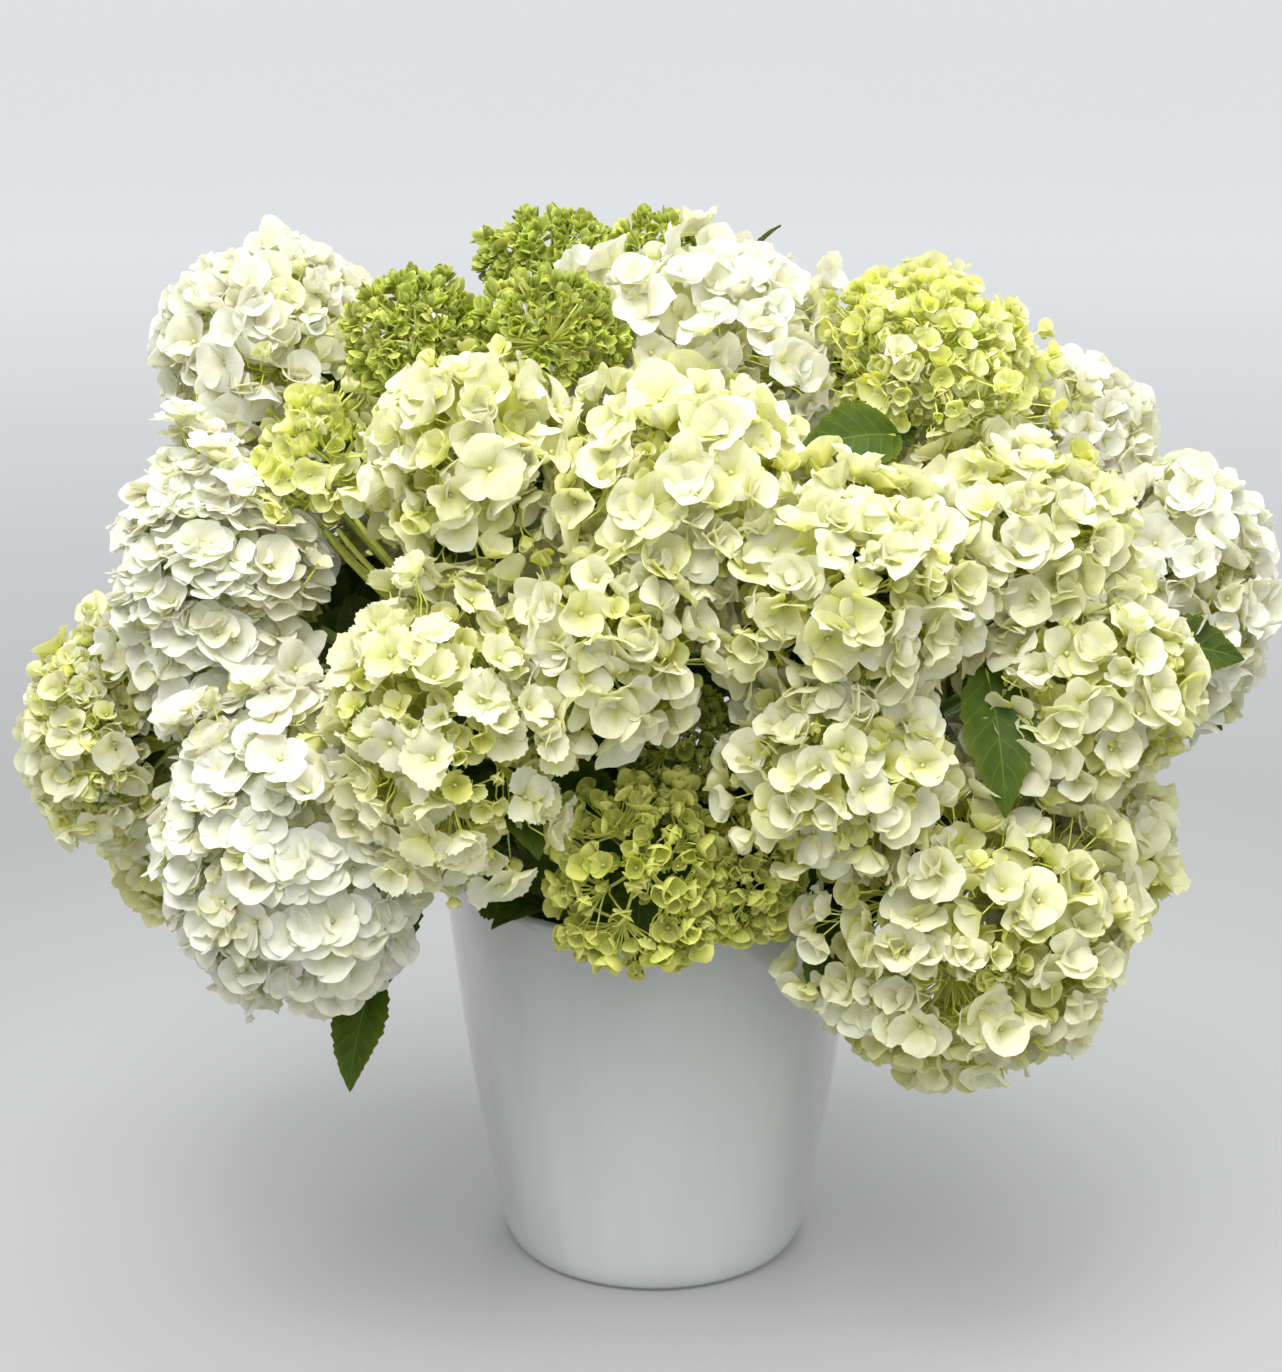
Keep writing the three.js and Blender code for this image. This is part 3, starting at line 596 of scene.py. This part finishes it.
def leaf_material():
    """Leaf green with a pale midrib and side veins that run out and forwards to the teeth."""
    paint = Paint("leaf_blade")
    aside = paint.math("ABSOLUTE", paint.attribute("across"))
    forwards = paint.math("MULTIPLY", paint.attribute("along"), SIDE_VEINS)
    order = paint.math("SUBTRACT", forwards, paint.math("MULTIPLY", aside, VEIN_SLANT))
    off = paint.math("ABSOLUTE", paint.math("SUBTRACT", paint.math("FRACT", order), 0.5))
    side_veins = paint.math("MULTIPLY", paint.ramp(off, 0.0, 0.09, 1.0, 0.0, "SMOOTHSTEP"), 0.45)
    veins = paint.math("MAXIMUM", side_veins, paint.ramp(aside, 0.0, 0.05, 1.0, 0.0, "SMOOTHSTEP"))
    cloud = paint.noise(120, 5)
    green = paint.tinted(paint.ramp(cloud, 0.3, 0.7, 0.78, 1.15))
    mixed = paint.node("Mix", {"Factor": veins, "A": green, "B": (0.08, 0.12, 0.012, 1)}, data_type="RGBA")
    colour = mixed.outputs["Result"]
    body = {"Base Color": colour, "Roughness": 0.55, "Specular IOR Level": 0.12,
            "Normal": paint.bump(paint.math("SUBTRACT", cloud, veins), 0.3, 0.0008)}
    return paint.finish(body, colour, 0.15)


def stalk_material():
    """Green stalks and stems: the point's own colour with fine mottling."""
    paint = Paint("stalk")
    cloud = paint.noise(220, 4)
    colour = paint.tinted(paint.ramp(cloud, 0.3, 0.7, 0.8, 1.1))
    return paint.finish({"Base Color": colour, "Roughness": 0.5, "Normal": paint.bump(cloud, 0.25, 0.0008)})


petal = petal_material("sepal", 0.56, 0.55)
lime_petal = petal_material("lime_sepal", 0.56, 0.5)
stalk = stalk_material()
leaf_skin = leaf_material()


# ---- Heads ----

def draw(rng, spec, count):
    return rng.normal(spec[0], spec[1], count)


def add_florets(mesh, lobe, rng, kind, middles, outs, size, green, colour, shut=None, coarse=False):
    """Four sepals, the eye and their colours for each floret of one lobe."""
    k = KINDS[kind]
    n = len(middles)
    which = np.repeat(np.arange(n), 4)
    many = len(which)
    turn = np.tile(np.arange(4) * np.pi / 2, n) + rng.uniform(0, np.pi / 2, n)[which]
    turn = turn + rng.normal(0, 0.10, many)
    pair = np.tile([0, 1, 0, 1], n)
    frames = frames_of(outs, rng.uniform(0, 6.28, n))
    level = draw(rng, k["level"], n)[which] + rng.normal(0, 9, many)
    rise = draw(rng, k["rise"], n)[which] + rng.normal(0, 5, many) + pair * 6
    cup = rng.beta(1.1, 1.7, n)
    size = size * (1.06 - 0.24 * cup)
    level = level + (k["cup"] * cup)[which]
    if shut is not None:
        level = level + shut[which]
    tip = colour[:, 3:][which] * (1 + rng.normal(0, 0.02, (many, 1)))
    base = colour[:, :3][which]
    p = {
        "length": k["length"] * size[which] * rng.uniform(0.88, 1.08, many) * (1 + 0.05 * pair),
        "width": k["width"] * rng.uniform(0.8, 1.14, many),
        "rise": np.radians(rise),
        "level": np.radians(level),
        "quick": np.full(many, k["quick"]),
        "wrap": np.clip(draw(rng, k["wrap"], many), -0.6, 1.3),
        "ripple": np.abs(draw(rng, k["ripple"], many)),
        "twist": rng.normal(0, 0.22, many),
        "waves": rng.uniform(3, 6, many),
        "phase": rng.uniform(0, 6.28, many),
        "point": k["point"] * rng.uniform(0.2, 2.6, n)[which] * rng.uniform(0.6, 1.2, many),
        "start": np.full(many, 0.7),
        "fade": ((0.45 + 0.6 * green) * rng.uniform(0.7, 1.3, n))[which],
        # Painted light on the sepal rims: strong on the small lime florets, faint on the large ones.
        "edge": np.full(many, 0.05 if k["length"] > 12 else 0.6),
        "turn": turn,
        "colour": np.concatenate([base, tip], 1),
    }
    rows, columns = (4, 4) if coarse else (k["rows"], k["columns"])
    add_sepals(mesh, p, middles[which] + outs[which] * (pair * 0.5)[:, None], frames[which], lobe.walls,
               rows, columns, kind == "toothed" and not coarse)
    if kind != "bud" and not coarse:
        eye = np.broadcast_to(BEAD, (n, 3)) * rng.uniform(0.8, 1.2, (n, 1))
        radius = np.clip(0.10 * k["length"] * size, 0.7, 1.7)
        add_beads(mesh, middles + outs * 1.6, frames, radius, eye)


def head_florets(name, lobe, others, inwards, rng):
    """Where the florets of a lobe sit: middles, outward directions, size, greenness and depth."""
    style = STYLES.get(name, {})
    k = KINDS[style.get("kind", HEADS[name][0])]
    scale = style.get("size", 1.0)
    disc = math.pi * (k["length"] * scale) ** 2 * 0.78
    count = int(round(style.get("cover", k["cover"]) * area_of(lobe.half) / disc))
    away = golden(count, -inwards, rng.uniform(0, 6.28))
    away = unit(away + rng.normal(0, 0.035, away.shape))
    bare = away @ inwards > style.get("bare", 0.55)
    deep = np.arange(count) % 5 > 2
    near, far = k["depth"]
    # Florets stand in clumps, one to a branch, highest in the middle of each clump.
    clumps = golden(max(9, int(area_of(lobe.half) / 2600)), -inwards, rng.uniform(0, 6.28))
    off = np.arccos(np.clip((away @ clumps.T).max(1), -1, 1)) * math.sqrt(len(clumps)) / 2
    high = np.clip(1.05 - off ** 2, 0, 1) * 0.7 + 0.3 * rng.random(count)
    share = np.where(deep, rng.uniform(0.72, 0.85, count), near + (far - near) * high)
    share = share + 0.06 * (rng.random(count) < 0.07)
    young = rng.random(count) < YOUNG_SHARE
    for at, wide in style.get("patches", ()):
        young |= np.linalg.norm(lobe.middle + away * lobe.half - np.array(at), axis=1) < wide
    size = scale * np.where(deep, rng.uniform(0.75, 0.95, count), rng.uniform(0.86, 1.16, count))
    size = size * np.where(young, rng.uniform(0.5, 0.75, count), 1)
    # Deep florets are greener: partly their own younger colour, and partly a painted shade for the
    # yellow-green shadow deep inside the head.
    green = np.where(deep, rng.uniform(0.6, 1.0, count), np.clip(rng.normal(0.12, 0.18, count), 0, 1))
    green = np.where(young, rng.uniform(0.55, 1.0, count), green)
    surface = away * lobe.half
    out = unit(away / lobe.half)
    reach_in = k["length"] * scale * 0.30
    root = lobe.middle
    # A head swells out to the wall where a neighbour presses on it.
    swollen, kept = kept_in(lobe, root, root + surface * (share * style.get("swell", 1.34))[:, None])
    pressed = (kept < 0.995)[:, None]
    middles = np.where(pressed, root + (swollen - root) * 0.97, root + surface * share[:, None])
    middles = middles - out * reach_in
    keep = ~bare & (kept > 0.42)
    keep &= (off < 1.0 - 0.35 * style.get("clump", 0)) | (rng.random(count) > style.get("clump", 0))
    for other in others:
        # Where two rounds of one head meet, the florets fill the crease.
        from_other = (middles - other.middle) / other.half
        near_it = np.linalg.norm(from_other, axis=1)
        keep &= near_it > 0.80
        push = CREASE_PUSH * smooth((1.4 - near_it) / 0.6)
        middles = middles + unit(out + unit(from_other / other.half)) * push[:, None]
        beyond = np.maximum(1, np.linalg.norm((middles - root) / lobe.half, axis=1) / 1.03)
        middles = root + (middles - root) / beyond[:, None]
    lean = rng.normal(0, k["tilt"], (count, 3)) + np.array([0, 0, style.get("lift", 0.12)])
    out = unit(out + lean)
    shut = np.where(young, rng.uniform(20, 60, count), 0)
    return middles[keep], out[keep], size[keep], green[keep], shut[keep], deep[keep]


def colours_for(colour, green, rng):
    """Colour of a floret's sepals at their root and at their edge."""
    n = len(green)
    g = green[:, None]
    if colour == "lime":
        tip = LIME * (1 - 0.25 * g) * rng.uniform(0.85, 1.18, (n, 1))
        tip = tip + np.array([0.10, 0.07, 0.05]) * rng.random((n, 1)) ** 2
        base = DEEP_LIME * rng.uniform(0.8, 1.5, (n, 1)) + LIME * 0.25
    else:
        main = WHITE if colour == "white" else CREAM
        warm = 0.28 if colour == "white" else 1.0
        tip = main * (1 - g * 0.6 * warm) + PALE_GREEN * g * 0.6 * warm
        root = np.clip((0.55 + 0.6 * g) * warm ** 0.7, 0, 1)
        base = PALE_GREEN * root + main * (1 - root)
    return np.concatenate([base, tip], 1)


def add_pedicels(mesh, lobe, hub, middles, outs, rng, thick, branches=10):
    """Stalks: a few main branches from the stem's end, then one fine stalk to each floret."""
    ways = golden(branches, unit(lobe.middle - hub), rng.uniform(0, 6))
    ways = ways[ways @ unit(hub - lobe.middle) < 0.55]
    forks = lobe.middle + ways * lobe.half * rng.uniform(0.34, 0.46, (len(ways), 1))
    start = np.broadcast_to(hub, forks.shape)
    lines = bezier(start, start + (lobe.middle - hub) * 0.5, forks - ways * 8, forks, 7)
    radii = np.linspace(1.35, 0.95, 7)[None] * thick
    tone = STALK * rng.uniform(0.8, 1.15, (len(lines), 1))
    add_tubes(mesh, lines, radii, 7, tone)
    nearest = np.argmax(unit(middles - lobe.middle) @ ways.T, axis=1)
    start = forks[nearest]
    lead = unit(middles - start)
    reach = np.linalg.norm(middles - start, axis=1)[:, None]
    bend = start + ways[nearest] * reach * 0.35
    lines = bezier(start, bend, middles - outs * reach * 0.3 + lead, middles, 5)
    radii = np.linspace(0.95, 0.62, 5)[None] * thick * 0.75
    tone = STALK * rng.uniform(0.85, 1.3, (len(lines), 1))
    add_tubes(mesh, lines, radii, 5, tone)


def spray_of_buds(lobe, inwards, rng):
    """Buds in small sprays at the ends of the stalks."""
    count = int(area_of(lobe.half) / 250)
    away = unit(golden(count, -inwards, rng.uniform(0, 6)) + rng.normal(0, 0.05, (count, 3)))
    away = away[away @ inwards < 0.6]
    ends = lobe.middle + away * lobe.half * rng.uniform(0.66, 0.86, (len(away), 1))
    ends, kept = kept_in(lobe, lobe.middle, ends)
    ends, away = ends[kept > 0.4], away[kept > 0.4]
    each = rng.integers(4, 8, len(ends))
    which = np.repeat(np.arange(len(ends)), each)
    outs = unit(away[which] + rng.normal(0, 0.55, (len(which), 3)))
    size = rng.uniform(0.55, 1.1, len(which))
    middles = ends[which] + outs * 3.0
    return ends, away, middles, outs, size


def add_shoots(mesh, name, count, rng):
    """Thick side branches that leave the stem below the head and spread up into it."""
    _, _, path, end, _, _ = stem_lines[name]
    lobe = lobes[name][0]
    fork = path[np.argmin(np.abs(np.linalg.norm(path - end, axis=1) - SHOOT_LENGTH))]
    rise = unit(lobe.middle - fork)
    ways = frames_of(rise[None], np.zeros(1))[0]
    angle = np.arange(count)[:, None] * 2 * np.pi / count + rng.normal(0, 0.15, (count, 1))
    spread = ways[:, 0] * np.cos(angle) + ways[:, 1] * np.sin(angle)
    ends = lobe.middle + (spread * rng.uniform(0.5, 0.85, (count, 1)) - rise * 0.3) * lobe.half
    ends, _ = kept_in(lobe, lobe.middle, ends)
    start = fork + rise * rng.uniform(-24, 34, (count, 1))
    bend = start + rise * 14 + spread * 14
    lines = bezier(start, bend, ends - rise * 34 + spread * 4, ends, 12)
    add_tubes(mesh, lines, np.linspace(2.5, 1.5, 12)[None], 8, STALK * rng.uniform(0.75, 1.05, (count, 1)))


def add_bud_lobe(mesh, name, lobe, start, inwards, rng):
    """A lobe of closed buds, in sprays on branching stalks."""
    ends, away, middles, outs, size = spray_of_buds(lobe, inwards, rng)
    add_pedicels(mesh, lobe, start, ends, away, rng, 1.25, 12)
    near = np.argmin(np.linalg.norm(middles[:, None] - ends[None], axis=2), axis=1)
    lines = np.stack([ends[near], (ends[near] + middles) / 2, middles], 1)
    add_tubes(mesh, lines, np.array([[0.8, 0.7, 0.8]]), 5, STALK * 1.1)
    green = rng.random(len(middles))
    tints = np.tile(STYLES[name]["dark"], 2) * colours_for("lime", green, rng)
    shut = rng.choice([0, 0, 0, -35], len(middles))
    add_florets(mesh, lobe, rng, "bud", middles, outs, size, green, tints, shut)


def add_floret_lobe(mesh, name, lobe, others, start, inwards, rng):
    """A lobe of open florets: the upper ones fine, the deep ones plainer, and a few of full size."""
    kind, colour, _ = HEADS[name]
    style = STYLES.get(name, {})
    middles, outs, size, green, shut, deep = head_florets(name, lobe, others, inwards, rng)
    add_pedicels(mesh, lobe, start, middles, outs, rng, style.get("branch", 0.9))
    full = rng.random(len(middles)) < style.get("mixed", 0)
    tints = colours_for(colour, green, rng)
    pale = style.get("pale", 0) * rng.random((len(tints), 1))
    tints = tints + (np.tile(CREAM, 2) - tints) * pale
    tints = tints * np.tile(style.get("dark", [1, 1, 1]), 2)
    if colour == "lime":
        shut = shut * 0.4
    for few, coarse in ((~full & ~deep, False), (~full & deep, True)):
        add_florets(mesh, lobe, rng, style.get("kind", kind), middles[few], outs[few], size[few], green[few],
                    tints[few], shut[few], coarse)
    if full.any():
        tints = colours_for("cream", green[full] * 0.7, rng)
        raised = middles[full] + outs[full] * 4
        add_florets(mesh, lobe, rng, "open", raised, outs[full], size[full] * 0.8, green[full], tints)


def make_head(name):
    """One head on its stem's end, with a stalk inside to each further lobe."""
    kind, colour, _ = HEADS[name]
    rng = np.random.default_rng(sum(map(ord, name)) * 7 + 3)
    mesh = Mesh()
    _, _, _, end, normal, inwards = stem_lines[name]
    own = lobes[name]
    hub = end - normal * 6
    neck = np.array([[end + normal * 4, end, hub, hub - normal * 5]])
    add_tubes(mesh, neck, np.array([[3.6, 3.9, 3.6, 2.2]]), 10, STALK)
    if "shoots" in STYLES.get(name, {}):
        add_shoots(mesh, name, STYLES[name]["shoots"], rng)
    for lobe in own:
        start = hub
        if lobe is not own[0]:
            start = lobe.middle
            bend = lobe.middle + (own[0].middle - lobe.middle) * 0.4
            bridge = bezier(hub, hub - normal * 20, bend, lobe.middle, 9)
            add_tubes(mesh, bridge[None], np.linspace(2.6, 1.8, 9)[None], 8, STALK)
        if kind == "bud":
            add_bud_lobe(mesh, name, lobe, start, inwards, rng)
        else:
            others = [other for other in own if other is not lobe]
            add_floret_lobe(mesh, name, lobe, others, start, inwards, rng)
    head = mesh.make("bloom_" + name, [lime_petal if colour == "lime" else petal, stalk])
    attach(head, "root")
    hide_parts("head_" + name)


# ---- Stems and leaves ----

TO_FRONT = np.array([0.0, -0.8, 0.6])


def add_leaf(mesh, stem, at, base, tip, width, arch, look, rng, walls=()):
    base, tip = np.array(base, float), np.array(tip, float)
    along = tip - base
    length = np.linalg.norm(along)
    across = np.cross(along, look)
    if np.linalg.norm(across) < 0.35 * length:
        across = np.cross(along, [along[0], 0.4, -0.6])
    across = unit(across)
    face = unit(np.cross(across, along))
    rows, columns = 37, 13
    u = np.linspace(0, 1, rows)[:, None]
    v = np.linspace(-1, 1, columns)[None, :]
    outline = np.sin(np.pi * u ** 0.78) ** 0.8 * (1 - 0.25 * u ** 3)
    outline = np.maximum(outline * (1 - 0.13 * ((u * LEAF_TEETH) % 1)), 0.004)
    aside = 0.5 * width * 1.04 * outline * v
    between = np.cos((u * SIDE_VEINS - np.abs(v) * VEIN_SLANT) * 2 * np.pi)
    bow = arch * 4 * u * (1 - u) + np.abs(aside) * 0.16
    bow = bow - 0.5 * between * np.minimum(1, 4 * np.abs(v)) * outline
    bow = bow + rng.uniform(0.6, 1.6) * np.sin(8 * u + 3 * v + rng.uniform(0, 6)) * v * v
    bow = bow - 1.0 * np.exp(-(v / 0.12) ** 2) * (1 - u)
    top = base + along * u[..., None] + across * aside[..., None] + face * bow[..., None]
    for normal, offset in walls:
        top = top - np.maximum(0, top @ normal - offset)[..., None] * normal
    shade = LEAF_GREEN * rng.uniform(0.8, 1.15) * np.ones((rows, columns, 1))
    shade = shade + np.array([0.03, 0.03, 0.0]) * (np.abs(v) ** 4)[..., None]
    under = (top - face * LEAF_THICKNESS)[1:-1, 1:-1].reshape(-1, 3)
    faces, source, rim = blade(rows, columns)
    pale = shade[1:-1, 1:-1] * 1.5 + 0.01
    grid = np.stack([np.broadcast_to(u, (rows, columns)), np.broadcast_to(v, (rows, columns))], -1)
    points = np.concatenate([top.reshape(-1, 3), under])
    shades = np.concatenate([shade.reshape(-1, 3), pale.reshape(-1, 3)])
    mesh.add(points, faces, shades, grid.reshape(-1, 2)[source], rim, slot=1)
    # The stalk leaves the stem at its share of the curve's length.
    start = point_at(stem_lines[stem][2], at)
    joint = top[2, columns // 2] - face * 0.5
    far = top[14, columns // 2] - face * 0.6
    line = bezier(start, start + (joint - start) * 0.4, joint - unit(along) * 8, joint, 8)
    line = np.concatenate([line, far[None]])
    radii = np.concatenate([np.linspace(2.1, 1.4, 8), [0.5]])
    add_tubes(mesh, line[None], radii[None], 8, STALK * 0.6, slot=0)


def leaves_under(mesh, name, rng):
    """Two pairs of leaves just below each head, pressed up against its underside."""
    _, _, _, end, normal, _ = stem_lines[name]
    lobe = lobes[name][0]
    ways = frames_of(-normal[None], np.array([rng.uniform(0, 3.14)]))[0]
    for hand, other in ((1, 0), (-1, 0), (0, 1), (0, -1)):
        aside = unit(ways[:, 0] * hand + ways[:, 1] * other + rng.normal(0, 0.15, 3))
        size = rng.uniform(0.8, 1.05) * lobe.half.mean()
        base = end + normal * rng.uniform(4, 12) + aside * 9
        tip = base + aside * size * 1.0 - normal * size * rng.uniform(0.25, 0.55)
        (base, tip), _ = kept_in(lobe, lobe.middle, np.array([base, tip]))
        if np.linalg.norm(tip - base) > SMALLEST_LEAF:
            add_leaf(mesh, name, 0.93, base, tip, size * 0.58, 6, UP, rng, lobe.walls)


def leaves_inside(mesh, name, rng):
    """Leaves deep in the bunch, broadside on to whoever looks in between the heads."""
    path = stem_lines[name][2]
    for at in (0.56, 0.66, 0.76, 0.86):
        base = point_at(path, at)
        out = unit(base - HUB + [0, 0, 30])
        side = unit(np.cross(out, UP)) * rng.choice([-1, 1])
        way = unit(side + UP * rng.uniform(-0.5, 0.7) + out * rng.uniform(-0.1, 0.25))
        size = rng.uniform(56, 76)
        add_leaf(mesh, name, at, base + way * 7 - out * 3, base + way * size, size * 0.62, 5, out, rng)


def leaf_at_mouth(mesh, name, rng):
    """A leaf on the stem where it leaves the vase."""
    path = stem_lines[name][2]
    height = rng.uniform(222, 262)
    at = int(np.argmin(np.abs(path[:, 2] - height)))
    base = path[at]
    out = unit(np.array([base[0], base[1], 0]) + rng.normal(0, 25, 3) * [1, 1, 0])
    size = min(rng.uniform(52, 70), 112 - np.hypot(base[0], base[1]) + 6)
    if size < SMALLEST_LEAF:
        return
    base = base + out * 6
    tip = base + out * size + UP * size * rng.uniform(0.05, 0.35)
    lengths = lengths_along(path)
    add_leaf(mesh, name, max(0.0, lengths[at] / lengths[-1] - 0.02), base, tip, size * 0.62, 5, UP, rng)


def make_stem(name):
    rng = np.random.default_rng(sum(map(ord, name)) + 11)
    foot, surface, path, _, _, _ = stem_lines[name]
    mesh = Mesh()
    straight = foot + (surface - foot) * np.linspace(0, 1, 6)[:-1, None]
    line = np.concatenate([straight, path])
    radii = np.full(len(line), STEM_RADIUS)
    radii[[9, 18]] *= 1.22
    radii[[8, 10, 17, 19]] *= 1.06
    tone = STEM_GREEN * rng.uniform(0.8, 1.35)
    add_tubes(mesh, line[None], radii[None], 12, tone, slot=0)
    for stem, at, base, tip, width, arch, front in LEAVES:
        if stem == name:
            add_leaf(mesh, name, at, base, tip, width, arch, TO_FRONT if front else UP, rng)
    if "shoots" not in STYLES.get(name, {}):
        leaves_under(mesh, name, rng)
        leaves_inside(mesh, name, rng)
    leaf_at_mouth(mesh, name, rng)
    stem = mesh.make("stalk_" + name, [stalk, leaf_skin])
    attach(stem, "root")
    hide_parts("stem_" + name)


# ---- Vase and water ----

def outside_radius(z):
    t = z / VASE_HEIGHT
    return FOOT_RADIUS + (RIM_RADIUS - FOOT_RADIUS) * t + 3 * np.sin(np.pi * t)


def glaze_material():
    """White glaze with a wet coat, faint runs down the wall and a slight unevenness in the clay."""
    paint = Paint("white_glaze")
    drawn = paint.node("Mapping", {"Vector": paint.place, "Scale": (1.0, 1.0, 0.10)}).outputs["Vector"]
    runs = paint.noise(42, 3, drawn)
    # Painted shade: the factor below darkens the glaze colour towards the rim, in place of the shade that
    # the overhanging heads cast on the upper vase, not because the glaze is thinner there.
    thin = paint.ramp(paint.height(), 0.0, VASE_HEIGHT * MM, 1.08, 0.76)
    shade = paint.math("MULTIPLY", paint.ramp(runs, 0.35, 0.7, 1.0, 0.93), thin)
    uneven = paint.bump(paint.noise(9), 0.5, 0.004, paint.bump(runs, 0.35, 0.0012))
    return paint.finish({"Base Color": paint.scaled((0.52, 0.53, 0.52), shade), "Roughness": 0.16,
                         "Coat Weight": 1.0, "Coat Roughness": 0.04,
                         "Normal": uneven, "Coat Normal": uneven})


def make_vase():
    outside = [(FOOT_RADIUS - 12, 0.0), (FOOT_RADIUS - 8, 0.6)]
    for z in [3, 6, 10, 16, 24, *np.linspace(34, 236, 34), 241, 245]:
        inset = 4 * max(0.0, 1 - z / 16) ** 2
        outside.append((outside_radius(z) - inset, z))
    rim = [(RIM_RADIUS - r, z) for r, z in [(0.9, 247.2), (2.2, 248.2), (3.8, 248.2), (5.2, 247)]]
    inside = [(outside_radius(z) - WALL, z) for z in np.linspace(240, FLOOR + 10, 24)]
    foot = FOOT_RADIUS - WALL
    floor = [(foot - 4, FLOOR + 3), (foot - 9, FLOOR), (30, FLOOR), (0.01, FLOOR)]
    profile = [(0.01, 0.0), (40, 0.0)] + outside + rim + inside + floor
    turns = 160
    a = np.linspace(0, 2 * np.pi, turns, endpoint=False)[:, None]
    r, z = np.array(profile, float).T[:, None, :]
    rise = np.clip(z / VASE_HEIGHT, 0, 1)
    flute = FLUTE_DEPTH * np.cos(FLUTES * a) * np.minimum(1, rise * 4) * (r > 60)
    drift = 0.5 * np.sin(3 * a + 0.02 * z + 1.0) * np.sin(np.pi * rise) * (r > 60)
    radius = r + flute + drift
    wave = np.sin(2 * a + 0.6) + 0.5 * np.sin(5 * a + 1.9)
    points = np.stack([radius * np.cos(a), radius * np.sin(a), z + RIM_WAVE * wave * rise ** 4], -1)
    mesh = Mesh()
    mesh.add(points, turned_faces(turns, len(profile))[:, ::-1], np.array([0.8, 0.8, 0.8]))
    vase = mesh.make("vase_body", [glaze_material()])
    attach(vase, "root")
    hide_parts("vase")


def water_material():
    paint = Paint("still_water")
    return paint.finish({"Base Color": (0.78, 0.84, 0.80, 1), "Roughness": 0.03, "IOR": 1.33,
                         "Transmission Weight": 0.9, "Normal": paint.bump(paint.noise(18), 0.05, 0.001)})


for head_name in HEADS:
    make_head(head_name)
for stem_name in HEADS:
    make_stem(stem_name)
make_vase()
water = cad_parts["water"]
water.data.materials.clear()
water.data.materials.append(water_material())


# ---- Room, light and camera ----

def room_material():
    """Pale matte paint on floor and wall, with a painted pool of light near the vase and a painted glow
    farther from it.
    """
    paint = Paint("pale_room")
    tone = paint.ramp(paint.noise(1.3), 0.0, 1.0, 0.98, 1.04)
    away = paint.node("VectorMath", {0: paint.place}, operation="LENGTH").outputs["Value"]
    # Painted pool of light: the floor's colour is lighter near the vase and darker farther out.
    painted_light_pool = paint.ramp(away, 0.0, 1.1, 0.27, 0.09, "SMOOTHSTEP")
    # Painted glow: floor and wall glow more the farther they are from the vase and less the higher they
    # stand, and this glow also lights the bunch.
    painted_wall_glow = paint.ramp(away, -2.5, 5.0, -0.15, 0.60, "SMOOTHSTEP")
    painted_glow_fade = paint.ramp(paint.height(), 0.5, 3.0, 1.0, 0.35, "SMOOTHSTEP")
    return paint.finish({"Base Color": paint.math("MULTIPLY", painted_light_pool, tone), "Roughness": 0.6,
                         "Emission Color": (0.93, 0.975, 1.0, 1),
                         "Emission Strength": paint.math("MULTIPLY", painted_wall_glow, painted_glow_fade)})


def make_room():
    """A pale round floor that curves up into a wall all round."""
    profile = [(0.0, 0.0), (0.4, 0.0), (1.2, 0.0), (3.0, 0.0), (5.2, 0.0), (5.9, 0.07), (6.5, 0.3),
               (6.9, 0.7), (7.1, 1.3), (7.15, 2.2), (7.15, 5.0)]
    turns = 96
    a = np.linspace(0, 2 * np.pi, turns, endpoint=False)[:, None]
    r, z = np.array(profile).T[:, None, :]
    points = np.stack([r * np.cos(a), r * np.sin(a), z + 0 * a], -1).reshape(-1, 3)
    steps = len(profile)
    # The first point of each row is the middle, which one flat face covers.
    faces = [face for face in turned_faces(turns, steps).tolist() if face[0] % steps]
    faces.append([i * steps + 1 for i in range(turns)])
    me = bpy.data.meshes.new("room")
    me.from_pydata(points.tolist(), [], faces)
    me.polygons.foreach_set("use_smooth", np.ones(len(faces), bool))
    me.materials.append(room_material())
    return new_object("room", me)


def area_light(name, at, target, size, power, colour=(1, 1, 1)):
    data = bpy.data.lights.new(name, "AREA")
    data.shape = "RECTANGLE"
    data.size, data.size_y = size
    data.energy = power
    data.color = colour
    light = new_object(name, data)
    light.location = at
    light.visible_camera = False
    way = np.array(target, float) - np.array(at, float)
    yaw = math.atan2(way[1], way[0])
    pitch = math.atan2(math.hypot(way[0], way[1]), -way[2])
    light.rotation_euler = (pitch, 0, yaw - math.pi / 2)
    return light


room = make_room()
lights = [
    area_light("key", (-0.5, -1.4, 2.8), (0, 0, 0.35), (1.4, 1.4), 57, (1.0, 0.995, 0.975)),
    area_light("fill", (0.5, -2.6, 2.1), (0, 0, 0.4), (3.0, 1.8), 32, (0.99, 0.99, 1.0)),
    area_light("back", (0.6, 2.4, 1.9), (0, 0, 0.35), (1.6, 1.6), 22),
    area_light("top", (0.0, -0.1, 2.7), (0, 0, 0.4), (2.6, 2.6), 72, (1.0, 1.0, 0.99)),
]

world = bpy.data.worlds.new("soft_room")
world.use_nodes = True
background = world.node_tree.nodes["Background"].inputs
background["Color"].default_value = (0.99, 0.99, 1.0, 1)
background["Strength"].default_value = 1.45
scene.world = world

# The camera is fitted to the photo. Its focal length and the picture's height are in pixels.
FOCAL_LENGTH = 2835
PICTURE_HEIGHT = 1372
SENSOR = 36
CAMERA_AT = (-0.008, -1.647, 0.837)
LOOKS_DOWN = 16.2

camera_data = bpy.data.cameras.new("camera")
camera_data.lens = FOCAL_LENGTH / PICTURE_HEIGHT * SENSOR
camera_data.sensor_width = SENSOR
camera = new_object("camera", camera_data)
camera.location = CAMERA_AT
camera.rotation_euler = (math.radians(90 - LOOKS_DOWN), 0, 0)
scene.camera = camera
scene.view_settings.view_transform = "Standard"
scene.view_settings.gamma = 1.18
scene.cycles.diffuse_bounces = 9
